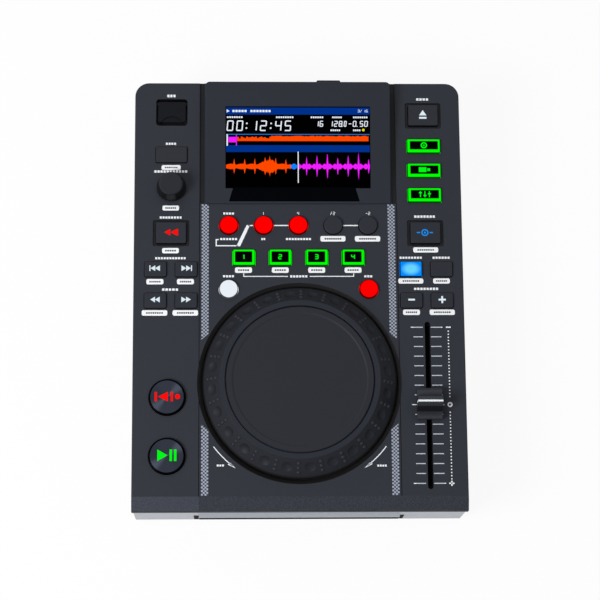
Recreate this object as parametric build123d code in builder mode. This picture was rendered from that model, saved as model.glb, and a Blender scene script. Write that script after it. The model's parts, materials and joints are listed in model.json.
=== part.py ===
"""Tabletop disc player for a DJ booth: a slot-loading deck with a jog wheel, a display and a pitch fader.

Millimetres, +Z up, the front (disc slot) towards -Y. The origin is under the middle of the whole
object, on the surface that the rubber feet stand on. Places on the deck are given from the middle
of its top plate; level(), upright() and along() turn them into planes.
"""

import os
from math import atan2, degrees, hypot

from build123d import *

os.makedirs("parts", exist_ok=True)

# ---------------------------------------------------------------- driving sizes
# Case
BODY_W = 220.0  # width of the top cover
BODY_D = 292.0  # depth of the top cover
PLATE_Z = 57.0  # height of the top plate's upper face
WALL = 2.4  # thickness of the cover's walls and top plate
FOOT_H = 5.0  # height of the rubber feet
SHEET = 2.0  # thickness of the base tray
REAR_R = 9.5  # radius of the two rear corners
BEVEL_D = 9.4  # depth of the front bevel
BEVEL_DROP = 3.0  # fall of the front bevel
SEAM_GAP = 0.3  # gap between fixed pieces that slide together
EDGE_R = 0.8  # rounding of the cover's outer edges

# Front
FRONT_STEP_Z = 47.5  # top edge of the fascia
FASCIA_SETBACK = 0.8  # how far the fascia lies behind the cover's front edge
FASCIA_T = 2.4
NOTCH_HALF = 70.0  # half width of the notch round the disc slot
NOTCH_TOP_Z = 28.0
BROW_HALF = 66.5  # half width of the lip over the disc slot
BROW_Z0 = 20.0
BROW_Z1 = 34.0
BROW_PROUD = 1.7  # how far the lip stands off the fascia
SLOT_Z0 = 12.6  # lower edge of the disc slot
FELT_T = 0.6

# Rear
REAR_OPEN_HALF = 98.0
REAR_OPEN_Z1 = 50.0
PANEL_T = 1.2
JACK_R = 4.15  # phono jack sleeve
JACK_OUT = 9.0  # how far a jack stands off the rear panel
JACK_Z = 30.0
JACK_X = (-62.0, -44.0)
JACK_BLOCK = 12.0  # height of the jacks' block, and how much wider it is than their pitch
JACK_BLOCK_D = 11.0
JACK_RIM_T = 0.5
JACK_CORE_R = 2.9
JACK_CONTACT_R = 1.65
DATA_X = -12.0  # square data socket
DATA_SOCKET = (12.0, 11.0)
DATA_MOUTH = (8.5, 7.8)
DATA_TONGUE = (5.6, 3.2)
INLET_X = 74.0  # low-voltage inlet
INLET_R = 4.3
INLET_BORE_R = 3.15
INLET_PIN_R = 1.0
SOCKET_PROUD = 0.6
SOCKET_DEPTH = 9.0
PANEL_CLEAR = 0.4  # clearance round a part that passes through the rear panel
POWER_X = 21.6
POWER_W = 16.3
POWER_H = 12.0
POWER_Z = 43.5
POWER_OUT = 7.5  # how far the power button stands off the rear panel
POWER_TRAVEL = 2.5
POWER_R = 1.0
POWER_DEPTH = 12.0  # depth of the button's housing behind the panel

# Jog wheel
JOG_Y = -61.3
JOG_R = 63.8
WELL_GAP = 3.6  # wheel to the wall of its well
WELL_R = JOG_R + WELL_GAP
WELL_CHAMFER = 2.5
WELL_DEPTH = 4.0
JOG_H = 13.0  # height of the wheel's flat ring over the plate
JOG_GRIP_W = 11.2  # width of the dimpled band
JOG_FLAT_R = JOG_R - JOG_GRIP_W
JOG_LIP_W = 3.85  # flat ring round the wheel's plate
JOG_TOP_R = JOG_FLAT_R - JOG_LIP_W
JOG_SHELL = 2.2
JOG_SHAFT_R = 4.0
DIMPLES = 24
DIMPLE_R = 7.2  # radius of the sphere that makes a dimple
DIMPLE_DEPTH = 1.1
DIMPLE_START = -98.8  # bearing of the first dimple
BUSH_R = 7.0
BUSH_FLANGE_R = 10.0
BUSH_FLANGE_T = 1.0
BUSH_DROP = 10.0
JOG_BOSS_R = 9.0
JOG_WEB_T = 2.2
JOG_PLATE_T = 3.2  # the wheel's flat ring to the top of its web

# Display
HUMP_W = 124.8
HUMP_Y0 = 60.9
HUMP_Y1 = 143.8
HUMP_FRONT_H = 0.8
HUMP_REAR_H = 10.0
HUMP_WALL = 2.2
HUMP_REAR_R = 3.0
WINDOW_T = 1.4
WINDOW_FIT = 0.15
WINDOW_W = 97.4
WINDOW_H = 55.8
WINDOW_Y = 98.9
LABEL_X0 = -46.4  # front edge of the black label below the screen
LABEL_X1 = 41.3
LABEL_SLANT = 3.0
SCREEN_W = 105.0
SCREEN_H = 62.0
SCREEN_T = 3.2
GROOVE_W = 3.2
GROOVE_DEPTH = 1.2
SEAM_X = 66.2
SEAM_W = 0.5
SEAM_DEPTH = 0.6

# Keys
FIT = 0.35  # clearance round a key in its hole
TRAVEL = 1.0  # how far a key goes down
FLANGE_W = 1.2
FLANGE_T = 1.0
FLANGE_GAP = 0.15
STEM_R = 2.0
STEM_L = 1.5
BEZEL_DEPTH = 0.9
COLUMN_X = 85.15  # middle of the left and right key columns
PAIR_X = 10.2  # half the distance between two keys of a pair
LOOP_PITCH = 23.3
CUE_PITCH = 24.35
SMALL_KEY = (14.6, 10.3)
WIDE_KEY = (20.1, 14.5)
BEZEL_KEY = (24.4, 18.0)
SOURCE_KEY = (22.5, 9.7)
PAD_KEY = (14.8, 10.9)
BACK_KEY = (21.0, 11.0)
ROUND_R = 6.3
TRANSPORT_R = 12.0
ROW_EJECT = 122.9
ROW_BACK = 94.9
ROW_SOURCE = (101.1, 83.9, 66.7)
ROW_MODE = 40.4
ROW_TRACK = 15.4
ROW_BEND = -6.0
ROW_LOOP = 45.7
ROW_PAD = 23.4
ROW_SHIFT = 1.8
ROW_CUE = -71.2
ROW_PLAY = -110.2
TRANSPORT_X = -87.1
SHIFT_X = 46.7

# Browse knob
BROWSE_Y = 72.0
KNOB_R = 10.0
KNOB_TOP_R = 8.0
KNOB_H = 10.0
BROWSE_TRAVEL = 0.7  # how far the knob pushes down
KNOB_LIFT = BROWSE_TRAVEL + 0.3
KNOB_RIBS = 24
KNOB_RIB_R = 0.75
BROWSE_R = 3.0

# Pitch fader
FADER_Y = -76.35
FADER_TRAVEL = 50.0
FADER_SLOT_W = 3.6
FADER_SLOT_END = 5.9  # slot's end beyond the travel
FADER_SLOT_L = 2 * (FADER_TRAVEL + FADER_SLOT_END)
FADER_BODY_END = 4.1  # body's end beyond the slot
FADER_BODY_L = FADER_SLOT_L + 2 * FADER_BODY_END
FADER_BODY_W = 9.5
FADER_BODY_H = 9.0
CAP_W = 16.4
CAP_L = 20.4
CAP_H = 14.0
CAP_LEDGE_H = 5.5
CAP_LIFT = 1.0
TONGUE = (1.4, 5.0)

# Front panel USB port
USB_Y = 125.0
USB_WELL = (21.2, 18.9)
USB_WELL_DEPTH = 5.5
USB_LID = (18.5, 14.2)
USB_LID_T = 1.6
USB_LID_SHIFT = 0.4  # lid's middle behind the well's
USB_LID_Y = USB_Y + USB_LID_SHIFT
USB_LID_DROP = 0.3
USB_PIN_R = 0.8
USB_PIN_BACK = 1.3  # hinge pin to the lid's rear edge
USB_SOCKET = (14.4, 7.0)
USB_MOUTH = (12.6, 5.2)
USB_SOCKET_H = 12.4

# Boards
BOARD_T = 1.6
BOARD_DROP = 9.0  # plate's underside to the key boards
SIDE_BOARD_W = 31.0
SIDE_BOARD_REAR = 5.0  # cover's rear edge to the side boards
LEFT_BOARD_FRONT = 16.0  # cover's front edge to the left board
RIGHT_BOARD_Y0 = -12.0
MIDDLE_BOARD = (120.0, 64.0)
MIDDLE_BOARD_Y = 24.0
TACT = 6.0
TACT_H = 3.4
TACT_PLUNGER_R = 1.75
TACT_TOP_GAP = 0.3  # plunger to a fully pressed key
MAIN_BOARD = (184.0, 114.0)
MAIN_BOARD_Y = 79.0
MAIN_BOARD_Z = 22.0
# processor, memory, regulator and display driver: x, y, width, depth, height
CHIPS = (
    (-10.0, 70.0, 22.0, 22.0, 2.2),
    (22.0, 72.0, 12.0, 18.0, 1.4),
    (60.0, 100.0, 16.0, 10.0, 9.0),
    (-60.0, 60.0, 26.0, 12.0, 6.0),
)
CAPACITOR_R = 4.8
CAPACITOR_H = 12.0
CAPACITOR_PITCH = 13.0

# Disc drive
DISC_R = 60.0
DRIVE_HALF = DISC_R + 12.0
DRIVE_INSET = 7.0  # cover's front edge to the drive
DRIVE_D = 148.0
DRIVE_Y0 = -BODY_D / 2 + DRIVE_INSET
DRIVE_Y1 = DRIVE_Y0 + DRIVE_D
DISC_INSET = 9.0  # drive's front edge to a loaded disc
DISC_Y = DRIVE_Y0 + DISC_INSET + DISC_R
DRIVE_T = 1.2
DRIVE_DECK_Z = 9.0
DRIVE_RIM_T = 1.5
DRIVE_LID_Z = 19.6
SHIELD_Z1 = 30.0
STIFFENER_R = 22.0
TRAVERSE_HALF = 35.0
TRAVERSE_FRONT = 22.0  # spindle to the traverse's front edge
TRAVERSE_REAR = 71.0
TRAVERSE_Y0 = DISC_Y - TRAVERSE_FRONT
TRAVERSE_Y1 = DISC_Y + TRAVERSE_REAR
TRAVERSE_GAP = 0.8
HINGE_INSET = 6.0  # traverse's rear edge to its hinge
HINGE_Y = TRAVERSE_Y1 - HINGE_INSET
HINGE_Z = 12.0
HINGE_R = 1.0
MOTOR_R = 12.5
MOTOR_Z0 = 7.4
MOTOR_SHAFT_R = 1.5
HUB_R = 14.0
HUB_Z = 13.4  # the face that carries the disc
HUB_CONE_R = 7.3
HUB_TOP_Z = 15.0
SLED = (32.0, 16.0)
SLED_H = 4.0
SLED_Z = 7.5
LENS_R = 2.2
SLED_START = 25.0  # lens to spindle, innermost
SLED_STROKE = 33.0
SLED_TRACK_GAP = 1.0
SCREW_LUG_T = 3.0
SCREW_X = -12.0
SCREW_Z = 9.6
SCREW_R = 1.2
GEAR_R = 1.9
GEAR_T = 1.2
ROLLER_INSET = 4.6
ROLLER_Y = DRIVE_Y0 + ROLLER_INSET
ROLLER_Z = 10.5
ROLLER_R = 3.2
ROLLER_WAIST_R = 2.5
ROLLER_HALF = 62.0
ROLLER_PIN_R = 1.5
RUN = 0.06  # radial clearance of the running fits

# Fasteners and feet
POST_R = 3.2
POST_X = 103.6
POST_ROWS = (-126.0, -40.0, 128.0)
PEG_R = 1.8
PEG_ROWS = (115.0, 26.2, -34.0, -92.0, -126.0)  # the right board has the first two
PEG_REAR_INSET = 7.0  # cover's rear edge to the rear pegs
PEG_REAR_SHIFT = 9.0  # column's middle to the rear pegs
PEG_MIDDLE = ((0.0, 34.2), (-57.5, 20.0), (57.5, 20.0))
SCREW_SHANK_R = 1.45
SCREW_HEAD_R = 3.0
SCREW_HEAD_H = 1.6
SCREW_L = 12.0
FOOT_R = 11.0
FOOT_X = 88.0
FOOT_Y = 119.0

# ---------------------------------------------------------------- sizes that follow
BASE_Z = FOOT_H
FLOOR_Z = BASE_Z + SHEET
SKIRT_Z = FLOOR_Z
UNDER_Z = PLATE_Z - WALL
HALF_W = BODY_W / 2
HALF_D = BODY_D / 2
FASCIA_Y = -HALF_D + FASCIA_SETBACK
PANEL_Y = HALF_D - WALL - 0.1  # outer face of the rear panel
FRONT_REACH = max(0.0, BROW_PROUD - FASCIA_SETBACK)
REAR_REACH = max(PANEL_Y + JACK_OUT, PANEL_Y + POWER_OUT) - HALF_D
BODY_Y = (FRONT_REACH - REAR_REACH) / 2
BOARD_Z = UNDER_Z - BOARD_DROP  # upper face of the key boards
KEY_FOOT_Z = UNDER_Z - FLANGE_GAP - FLANGE_T - STEM_L
WELL_Z = PLATE_Z - WELL_DEPTH
HUMP_TILT = degrees(atan2(HUMP_REAR_H - HUMP_FRONT_H, HUMP_Y1 - HUMP_Y0))
WEB_Z1 = PLATE_Z + JOG_H - JOG_PLATE_T
WEB_Z0 = WEB_Z1 - JOG_WEB_T
SHAFT_TOP_Z = WEB_Z1 - 0.2
SLED_Y0 = DISC_Y + SLED_START - SLED[1] / 2 - SLED_TRACK_GAP  # ends of the sled's track
SLED_Y1 = DISC_Y + SLED_START + SLED_STROKE + SLED[1] / 2 + SLED_TRACK_GAP
SCREW_Y0 = SLED_Y0 - SCREW_LUG_T - 0.2
SCREW_Y1 = SLED_Y1 + SCREW_LUG_T - 0.2
HINGE_USB_Y = USB_LID_Y + USB_LID[1] / 2 - USB_PIN_BACK
HINGE_USB_Z = PLATE_Z - USB_LID_DROP - USB_LID_T / 2
POWER_HOLE = (POWER_W + 2 * PANEL_CLEAR, POWER_H + 2 * PANEL_CLEAR)

# name, x, y, (width, depth), height over the plate, corner radius
RECT_KEYS = (
    ("back_button", -COLUMN_X, ROW_BACK, BACK_KEY, 1.2, 1.0),
    ("reverse_button", -COLUMN_X, ROW_MODE, WIDE_KEY, 1.6, 0.9),
    ("track_previous_button", -COLUMN_X - PAIR_X, ROW_TRACK, SMALL_KEY, 1.4, 1.2),
    ("track_next_button", -COLUMN_X + PAIR_X, ROW_TRACK, SMALL_KEY, 1.4, 1.2),
    ("search_back_button", -COLUMN_X - PAIR_X, ROW_BEND, SMALL_KEY, 1.4, 1.2),
    ("search_forward_button", -COLUMN_X + PAIR_X, ROW_BEND, SMALL_KEY, 1.4, 1.2),
    ("eject_button", COLUMN_X, ROW_EJECT, WIDE_KEY, 1.6, 0.9),
    ("source_disc_button", COLUMN_X, ROW_SOURCE[0], SOURCE_KEY, 1.5, 0.9),
    ("source_usb_button", COLUMN_X, ROW_SOURCE[1], SOURCE_KEY, 1.5, 0.9),
    ("source_control_button", COLUMN_X, ROW_SOURCE[2], SOURCE_KEY, 1.5, 0.9),
    ("jog_mode_button", COLUMN_X, ROW_MODE, WIDE_KEY, 1.6, 0.9),
    ("key_lock_button", COLUMN_X - PAIR_X, ROW_TRACK, SMALL_KEY, 1.6, 1.0),
    ("tap_button", COLUMN_X + PAIR_X, ROW_TRACK, SMALL_KEY, 1.4, 1.2),
    ("bend_minus_button", COLUMN_X - PAIR_X, ROW_BEND, SMALL_KEY, 1.4, 1.2),
    ("bend_plus_button", COLUMN_X + PAIR_X, ROW_BEND, SMALL_KEY, 1.4, 1.2),
    ("hot_cue_1_button", -1.5 * CUE_PITCH, ROW_PAD, PAD_KEY, 1.5, 1.0),
    ("hot_cue_2_button", -0.5 * CUE_PITCH, ROW_PAD, PAD_KEY, 1.5, 1.0),
    ("hot_cue_3_button", 0.5 * CUE_PITCH, ROW_PAD, PAD_KEY, 1.5, 1.0),
    ("hot_cue_4_button", 1.5 * CUE_PITCH, ROW_PAD, PAD_KEY, 1.5, 1.0),
)
# name, x, y, radius, height over the plate
ROUND_KEYS = (
    ("auto_loop_button", -2 * LOOP_PITCH, ROW_LOOP, ROUND_R, 1.8),
    ("loop_in_button", -LOOP_PITCH, ROW_LOOP, ROUND_R, 1.8),
    ("loop_out_button", 0.0, ROW_LOOP, ROUND_R, 1.8),
    ("loop_half_button", LOOP_PITCH, ROW_LOOP, ROUND_R, 1.8),
    ("loop_double_button", 2 * LOOP_PITCH, ROW_LOOP, ROUND_R, 1.8),
    ("shift_button", -SHIFT_X, ROW_SHIFT, ROUND_R, 1.8),
    ("slip_button", SHIFT_X, ROW_SHIFT, ROUND_R, 1.8),
    ("cue_button", TRANSPORT_X, ROW_CUE, TRANSPORT_R, 2.2),
    ("play_button", TRANSPORT_X, ROW_PLAY, TRANSPORT_R, 2.2),
)
BEZELS = ((-COLUMN_X, ROW_MODE), (COLUMN_X, ROW_MODE), (COLUMN_X, ROW_EJECT))


def level(z, x=0.0, y=0.0):
    """Plane facing up at height z, its origin at deck place (x, y)."""
    return Plane(origin=(x, BODY_Y + y, z))


def upright(x=0.0, y=0.0):
    """Plane facing the front, X across and Z up, through deck place (x, y)."""
    return Plane(origin=(x, BODY_Y + y, 0), x_dir=(1, 0, 0), z_dir=(0, -1, 0))


def along(x=0.0):
    """Plane facing +X at x: its local x runs to the rear and its local y runs up."""
    return Plane(origin=(x, BODY_Y, 0), x_dir=(0, 1, 0), z_dir=(1, 0, 0))


def sloped(depth):
    """Plane in the hump's sloping face, sunk by depth, its origin in the middle of the screen."""
    rise = (WINDOW_Y - HUMP_Y0) * (HUMP_REAR_H - HUMP_FRONT_H) / (HUMP_Y1 - HUMP_Y0)
    face = Plane(origin=(0, BODY_Y + WINDOW_Y, PLATE_Z + HUMP_FRONT_H + rise))
    return face.rotated((HUMP_TILT, 0, 0)).offset(-depth)


def stand(x, y):
    """Vertical axis through deck place (x, y)."""
    return Axis((x, BODY_Y + y, 0), (0, 0, 1))


def finish(piece, name):
    """Labels a finished piece and writes its file."""
    piece.label = name
    export_step(piece, f"parts/{name}.step")


# ---------------------------------------------------------------- case


def cover_section(inset):
    """Corners of the cover's section from front to rear, inset from its outer faces."""
    front = -HALF_D + inset
    rear = HALF_D - inset
    top = PLATE_Z - inset
    return (
        (front, SKIRT_Z),
        (front, top - BEVEL_DROP),
        (-HALF_D + BEVEL_D, top),
        (rear, top),
        (rear, SKIRT_Z),
    )


def make_cover_hollow():
    """The space inside the cover, rounded at the rear like its outside."""
    with BuildPart() as hollow:
        with BuildSketch(along()):
            with BuildLine():
                Polyline(*cover_section(WALL), close=True)
            make_face()
        extrude(amount=HALF_W - WALL, both=True)
        fillet(hollow.edges().filter_by(Axis.Z).group_by(Axis.Y)[-1], REAR_R - WALL)
    return hollow.part


def make_top_cover():
    hollow = make_cover_hollow()
    with BuildPart() as top_cover:
        with BuildSketch(along()):
            with BuildLine():
                Polyline(*cover_section(0), close=True)
            make_face()
        extrude(amount=HALF_W, both=True)
        rear_corners = top_cover.edges().filter_by(Axis.Z).group_by(Axis.Y)[-1]
        fillet(rear_corners, REAR_R)
        fillet(top_cover.faces().sort_by(Axis.Z)[-1].edges().sort_by(Axis.Y)[1:], EDGE_R)
        add(hollow, mode=Mode.SUBTRACT)
        # the jog wheel's well hangs below the plate
        with BuildSketch(level(WELL_Z - WALL, 0, JOG_Y)):
            Circle(WELL_R)
        extrude(amount=PLATE_Z - WELL_Z + WALL - WALL / 2)
        # walls of the USB well
        with BuildSketch(level(PLATE_Z - USB_WELL_DEPTH - WALL / 2, -COLUMN_X, USB_Y)):
            Rectangle(USB_WELL[0] + WALL, USB_WELL[1] + WALL)
        extrude(amount=USB_WELL_DEPTH - WALL / 2)
        # screw posts and key board pegs
        with BuildSketch(level(FLOOR_Z)):
            with Locations(*post_places()):
                Circle(POST_R)
        extrude(amount=UNDER_Z - FLOOR_Z)
        with BuildSketch(level(BOARD_Z)):
            with Locations(*peg_places()):
                Circle(PEG_R)
        extrude(amount=UNDER_Z - BOARD_Z)
        with BuildSketch(level(FLOOR_Z)):
            with Locations(*post_places()):
                Circle(SCREW_SHANK_R + 0.05)
        extrude(amount=SCREW_L + 1, mode=Mode.SUBTRACT)
        # openings for the fascia and for the rear panel
        with BuildSketch(level(0, 0, -HALF_D)):
            Rectangle(2 * BODY_W, 2 * (FASCIA_SETBACK + FASCIA_T + 0.1))
        extrude(amount=FRONT_STEP_Z, mode=Mode.SUBTRACT)
        with BuildSketch(upright(0, HALF_D + 1)):
            with Locations((0, (REAR_OPEN_Z1 + SKIRT_Z) / 2 - 1)):
                Rectangle(2 * REAR_OPEN_HALF, REAR_OPEN_Z1 - SKIRT_Z + 2)
        extrude(amount=WALL + 1.5, mode=Mode.SUBTRACT)
        # the well itself, with its chamfered lip and its bearing seat
        with BuildSketch(upright(0, JOG_Y)):
            with BuildLine():
                Polyline(
                    (0, WELL_Z),
                    (WELL_R - WELL_CHAMFER, WELL_Z),
                    (WELL_R - WELL_CHAMFER, PLATE_Z - WELL_CHAMFER * 0.6),
                    (WELL_R, PLATE_Z),
                    (WELL_R, PLATE_Z + 1),
                    (0, PLATE_Z + 1),
                    close=True,
                )
            make_face()
        revolve(axis=stand(0, JOG_Y), mode=Mode.SUBTRACT)
        with BuildSketch(level(WELL_Z - 2 * WALL, 0, JOG_Y)):
            Circle(BUSH_R + 0.05)
        extrude(amount=3 * WALL, mode=Mode.SUBTRACT)
        # opening under the display, and the grooves and seams beside it
        with BuildSketch(level(UNDER_Z - 1, 0, WINDOW_Y)):
            Rectangle(SCREEN_W + 4, SCREEN_H + 4)
        extrude(amount=WALL + 2, mode=Mode.SUBTRACT)
        with BuildSketch(sloped(WINDOW_T + 0.15)):
            with BuildLine():
                Polyline(*label_outline(WINDOW_FIT), close=True)
            make_face()
        extrude(amount=WINDOW_T + 2, mode=Mode.SUBTRACT)
        groove_y = (HUMP_Y0 + HALF_D) / 2
        with BuildSketch(level(PLATE_Z - GROOVE_DEPTH, 0, groove_y)):
            with Locations((SEAM_X - GROOVE_W / 2, 0), (GROOVE_W / 2 - SEAM_X, 0)):
                Rectangle(GROOVE_W, HALF_D - HUMP_Y0 + 0.01)
        extrude(amount=2 * GROOVE_DEPTH, mode=Mode.SUBTRACT)
        seam_l = HUMP_Y0 + HALF_D - BEVEL_D
        with BuildSketch(level(PLATE_Z - SEAM_DEPTH, 0, HUMP_Y0 - seam_l / 2)):
            with Locations((SEAM_X, 0), (-SEAM_X, 0)):
                Rectangle(SEAM_W, seam_l)
        extrude(amount=2 * SEAM_DEPTH, mode=Mode.SUBTRACT)
        # key holes
        with BuildSketch(level(UNDER_Z - 1)):
            for _, x, y, (w, h), _, r in RECT_KEYS:
                with Locations((x, y)):
                    RectangleRounded(w + 2 * FIT, h + 2 * FIT, r + FIT)
            for _, x, y, r, _ in ROUND_KEYS:
                with Locations((x, y)):
                    Circle(r + FIT)
            with Locations((-COLUMN_X, BROWSE_Y)):
                Circle(BROWSE_R + 0.5)
            with Locations((COLUMN_X, FADER_Y)):
                RectangleRounded(FADER_SLOT_W, FADER_SLOT_L, FADER_SLOT_W / 2 - 0.01)
            with Locations((-COLUMN_X, USB_Y)):
                RectangleRounded(*USB_WELL, 2.2)
        extrude(amount=WALL + 2, mode=Mode.SUBTRACT)
        with BuildSketch(level(PLATE_Z - BEZEL_DEPTH)):
            with Locations(*BEZELS):
                RectangleRounded(*BEZEL_KEY, 1.4)
        extrude(amount=2 * BEZEL_DEPTH, mode=Mode.SUBTRACT)
        # the USB well: its depth, the socket's mouth and the lid's hinge holes
        with BuildSketch(level(PLATE_Z - USB_WELL_DEPTH, -COLUMN_X, USB_Y)):
            RectangleRounded(*USB_WELL, 2.2)
        extrude(amount=USB_WELL_DEPTH + 1, mode=Mode.SUBTRACT)
        with BuildSketch(level(PLATE_Z - USB_WELL_DEPTH - WALL, -COLUMN_X, USB_Y)):
            Rectangle(USB_SOCKET[0] + 2 * FIT, USB_SOCKET[1] + 2 * FIT)
        extrude(amount=2 * WALL, mode=Mode.SUBTRACT)
        with BuildSketch(along(-COLUMN_X)):
            with Locations((HINGE_USB_Y, HINGE_USB_Z)):
                Circle(USB_PIN_R + RUN)
        extrude(amount=USB_WELL[0] / 2 + 1.5, both=True, mode=Mode.SUBTRACT)
    finish(top_cover.part, "top_cover")


def post_places():
    """Places of the cover's screw posts."""
    return [(side * POST_X, y) for side in (-1, 1) for y in POST_ROWS]


def peg_places():
    """Places of the pegs that carry the three key boards."""
    inner = COLUMN_X - SMALL_KEY[0]
    left = [(-inner, y) for y in PEG_ROWS]
    right = [(inner, y) for y in PEG_ROWS[:2]]
    rear = [(side * (COLUMN_X + PEG_REAR_SHIFT), HALF_D - PEG_REAR_INSET) for side in (-1, 1)]
    return left + right + rear + list(PEG_MIDDLE)


def make_base_tray():
    lip_y = FASCIA_Y + FASCIA_T + 0.2
    with BuildPart() as base_tray:
        with BuildSketch(level(BASE_Z)):
            Rectangle(BODY_W - 4, BODY_D - 2 * WALL - 1)
            fillet(vertices().group_by(Axis.Y)[-1], REAR_R - WALL)
        extrude(amount=SHEET)
        # upturned side flanges, inside the cover's walls
        flange_x = HALF_W - WALL - SEAM_GAP - 0.8
        spans = [(POST_ROWS[0] + 6, POST_ROWS[1] - 6), (POST_ROWS[1] + 6, POST_ROWS[2] - 6)]
        with BuildSketch(level(FLOOR_Z)):
            for y0, y1 in spans:
                with Locations((flange_x, (y0 + y1) / 2), (-flange_x, (y0 + y1) / 2)):
                    Rectangle(1.6, y1 - y0)
        extrude(amount=10)
        # lip below the disc slot
        with BuildSketch(level(FLOOR_Z, 0, lip_y + 1)):
            Rectangle(2 * NOTCH_HALF + 4, 2.0)
        extrude(amount=SLOT_Z0 - FLOOR_Z)
        # posts under the main board
        with BuildSketch(level(FLOOR_Z)):
            with Locations(*main_post_places()):
                Circle(POST_R)
        extrude(amount=MAIN_BOARD_Z - FLOOR_Z)
        # screw holes and a field of cooling slots
        with BuildSketch(level(BASE_Z - 1)):
            with Locations(*post_places()):
                Circle(SCREW_SHANK_R + 0.3)
            with Locations((0, MAIN_BOARD_Y)):
                with GridLocations(9.0, 30.0, 12, 2):
                    SlotOverall(22.0, 3.0, rotation=90)
        extrude(amount=SHEET + 2, mode=Mode.SUBTRACT)
    finish(base_tray.part, "base_tray")


def main_post_places():
    """Places of the four posts that carry the main board."""
    x = MAIN_BOARD[0] / 2 - 7
    y = MAIN_BOARD[1] / 2 - 7
    return [(sx * x, MAIN_BOARD_Y + sy * y) for sx in (-1, 1) for sy in (-1, 1)]


def make_front_fascia():
    inner_x = HALF_W - WALL - SEAM_GAP
    with BuildPart() as front_fascia:
        with BuildSketch(upright(0, FASCIA_Y + FASCIA_T)):
            with Locations((0, (SKIRT_Z + FRONT_STEP_Z) / 2)):
                Rectangle(BODY_W - 1.2, FRONT_STEP_Z - SKIRT_Z)
            with Locations((0, (SKIRT_Z + NOTCH_TOP_Z) / 2)):
                Rectangle(2 * NOTCH_HALF, NOTCH_TOP_Z - SKIRT_Z, mode=Mode.SUBTRACT)
        extrude(amount=FASCIA_T)
        fillet(front_fascia.edges().filter_by(Axis.Z).group_by(Axis.Y)[0].sort_by(Axis.X)[::3], 0.8)
        # lip over the slot, sloping out towards its lower edge
        with BuildSketch(along()):
            with BuildLine():
                Polyline(
                    (FASCIA_Y + FASCIA_T, BROW_Z0),
                    (FASCIA_Y + FASCIA_T, BROW_Z1),
                    (FASCIA_Y, BROW_Z1),
                    (FASCIA_Y - BROW_PROUD, BROW_Z1 - 3),
                    (FASCIA_Y - BROW_PROUD, BROW_Z0 + 0.8),
                    (FASCIA_Y - BROW_PROUD + 0.8, BROW_Z0),
                    close=True,
                )
            make_face()
        extrude(amount=BROW_HALF, both=True)
        # returns inside the cover's side walls
        with BuildSketch(level(SKIRT_Z + 2, 0, FASCIA_Y + FASCIA_T + 3.5)):
            with Locations((inner_x - 1, 0), (1 - inner_x, 0)):
                Rectangle(2.0, 7.0)
        extrude(amount=FRONT_STEP_Z - SKIRT_Z - 4)
    finish(front_fascia.part, "front_fascia")


def make_slot_felt():
    lip_y = FASCIA_Y + FASCIA_T + 0.2
    with BuildPart() as slot_felt:
        with BuildSketch(level(SLOT_Z0, 0, lip_y + 1)):
            Rectangle(2 * BROW_HALF, 2.0)
        extrude(amount=FELT_T)
        with BuildSketch(level(DRIVE_LID_Z - FELT_T, 0, DRIVE_Y0 + 1)):
            Rectangle(2 * BROW_HALF, 2.0)
        extrude(amount=FELT_T)
    finish(slot_felt.part, "slot_felt")


def make_rear_panel():
    panel_w = 2 * REAR_OPEN_HALF + 6
    panel_h = REAR_OPEN_Z1 + 1.5 - FLOOR_Z
    with BuildPart() as rear_panel:
        with BuildSketch(upright(0, PANEL_Y)):
            with Locations((0, FLOOR_Z + panel_h / 2)):
                Rectangle(panel_w, panel_h)
            for x in JACK_X:
                with Locations((x, JACK_Z)):
                    Circle(JACK_R + 2 * PANEL_CLEAR, mode=Mode.SUBTRACT)
            with Locations((DATA_X, JACK_Z)):
                Rectangle(DATA_SOCKET[0] + PANEL_CLEAR, DATA_SOCKET[1] + PANEL_CLEAR, mode=Mode.SUBTRACT)
            with Locations((INLET_X, JACK_Z)):
                Circle(INLET_R + 0.3, mode=Mode.SUBTRACT)
            with Locations((POWER_X, POWER_Z)):
                RectangleRounded(*POWER_HOLE, POWER_R + PANEL_CLEAR, mode=Mode.SUBTRACT)
        extrude(amount=PANEL_T)
    finish(rear_panel.part, "rear_panel")


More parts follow.
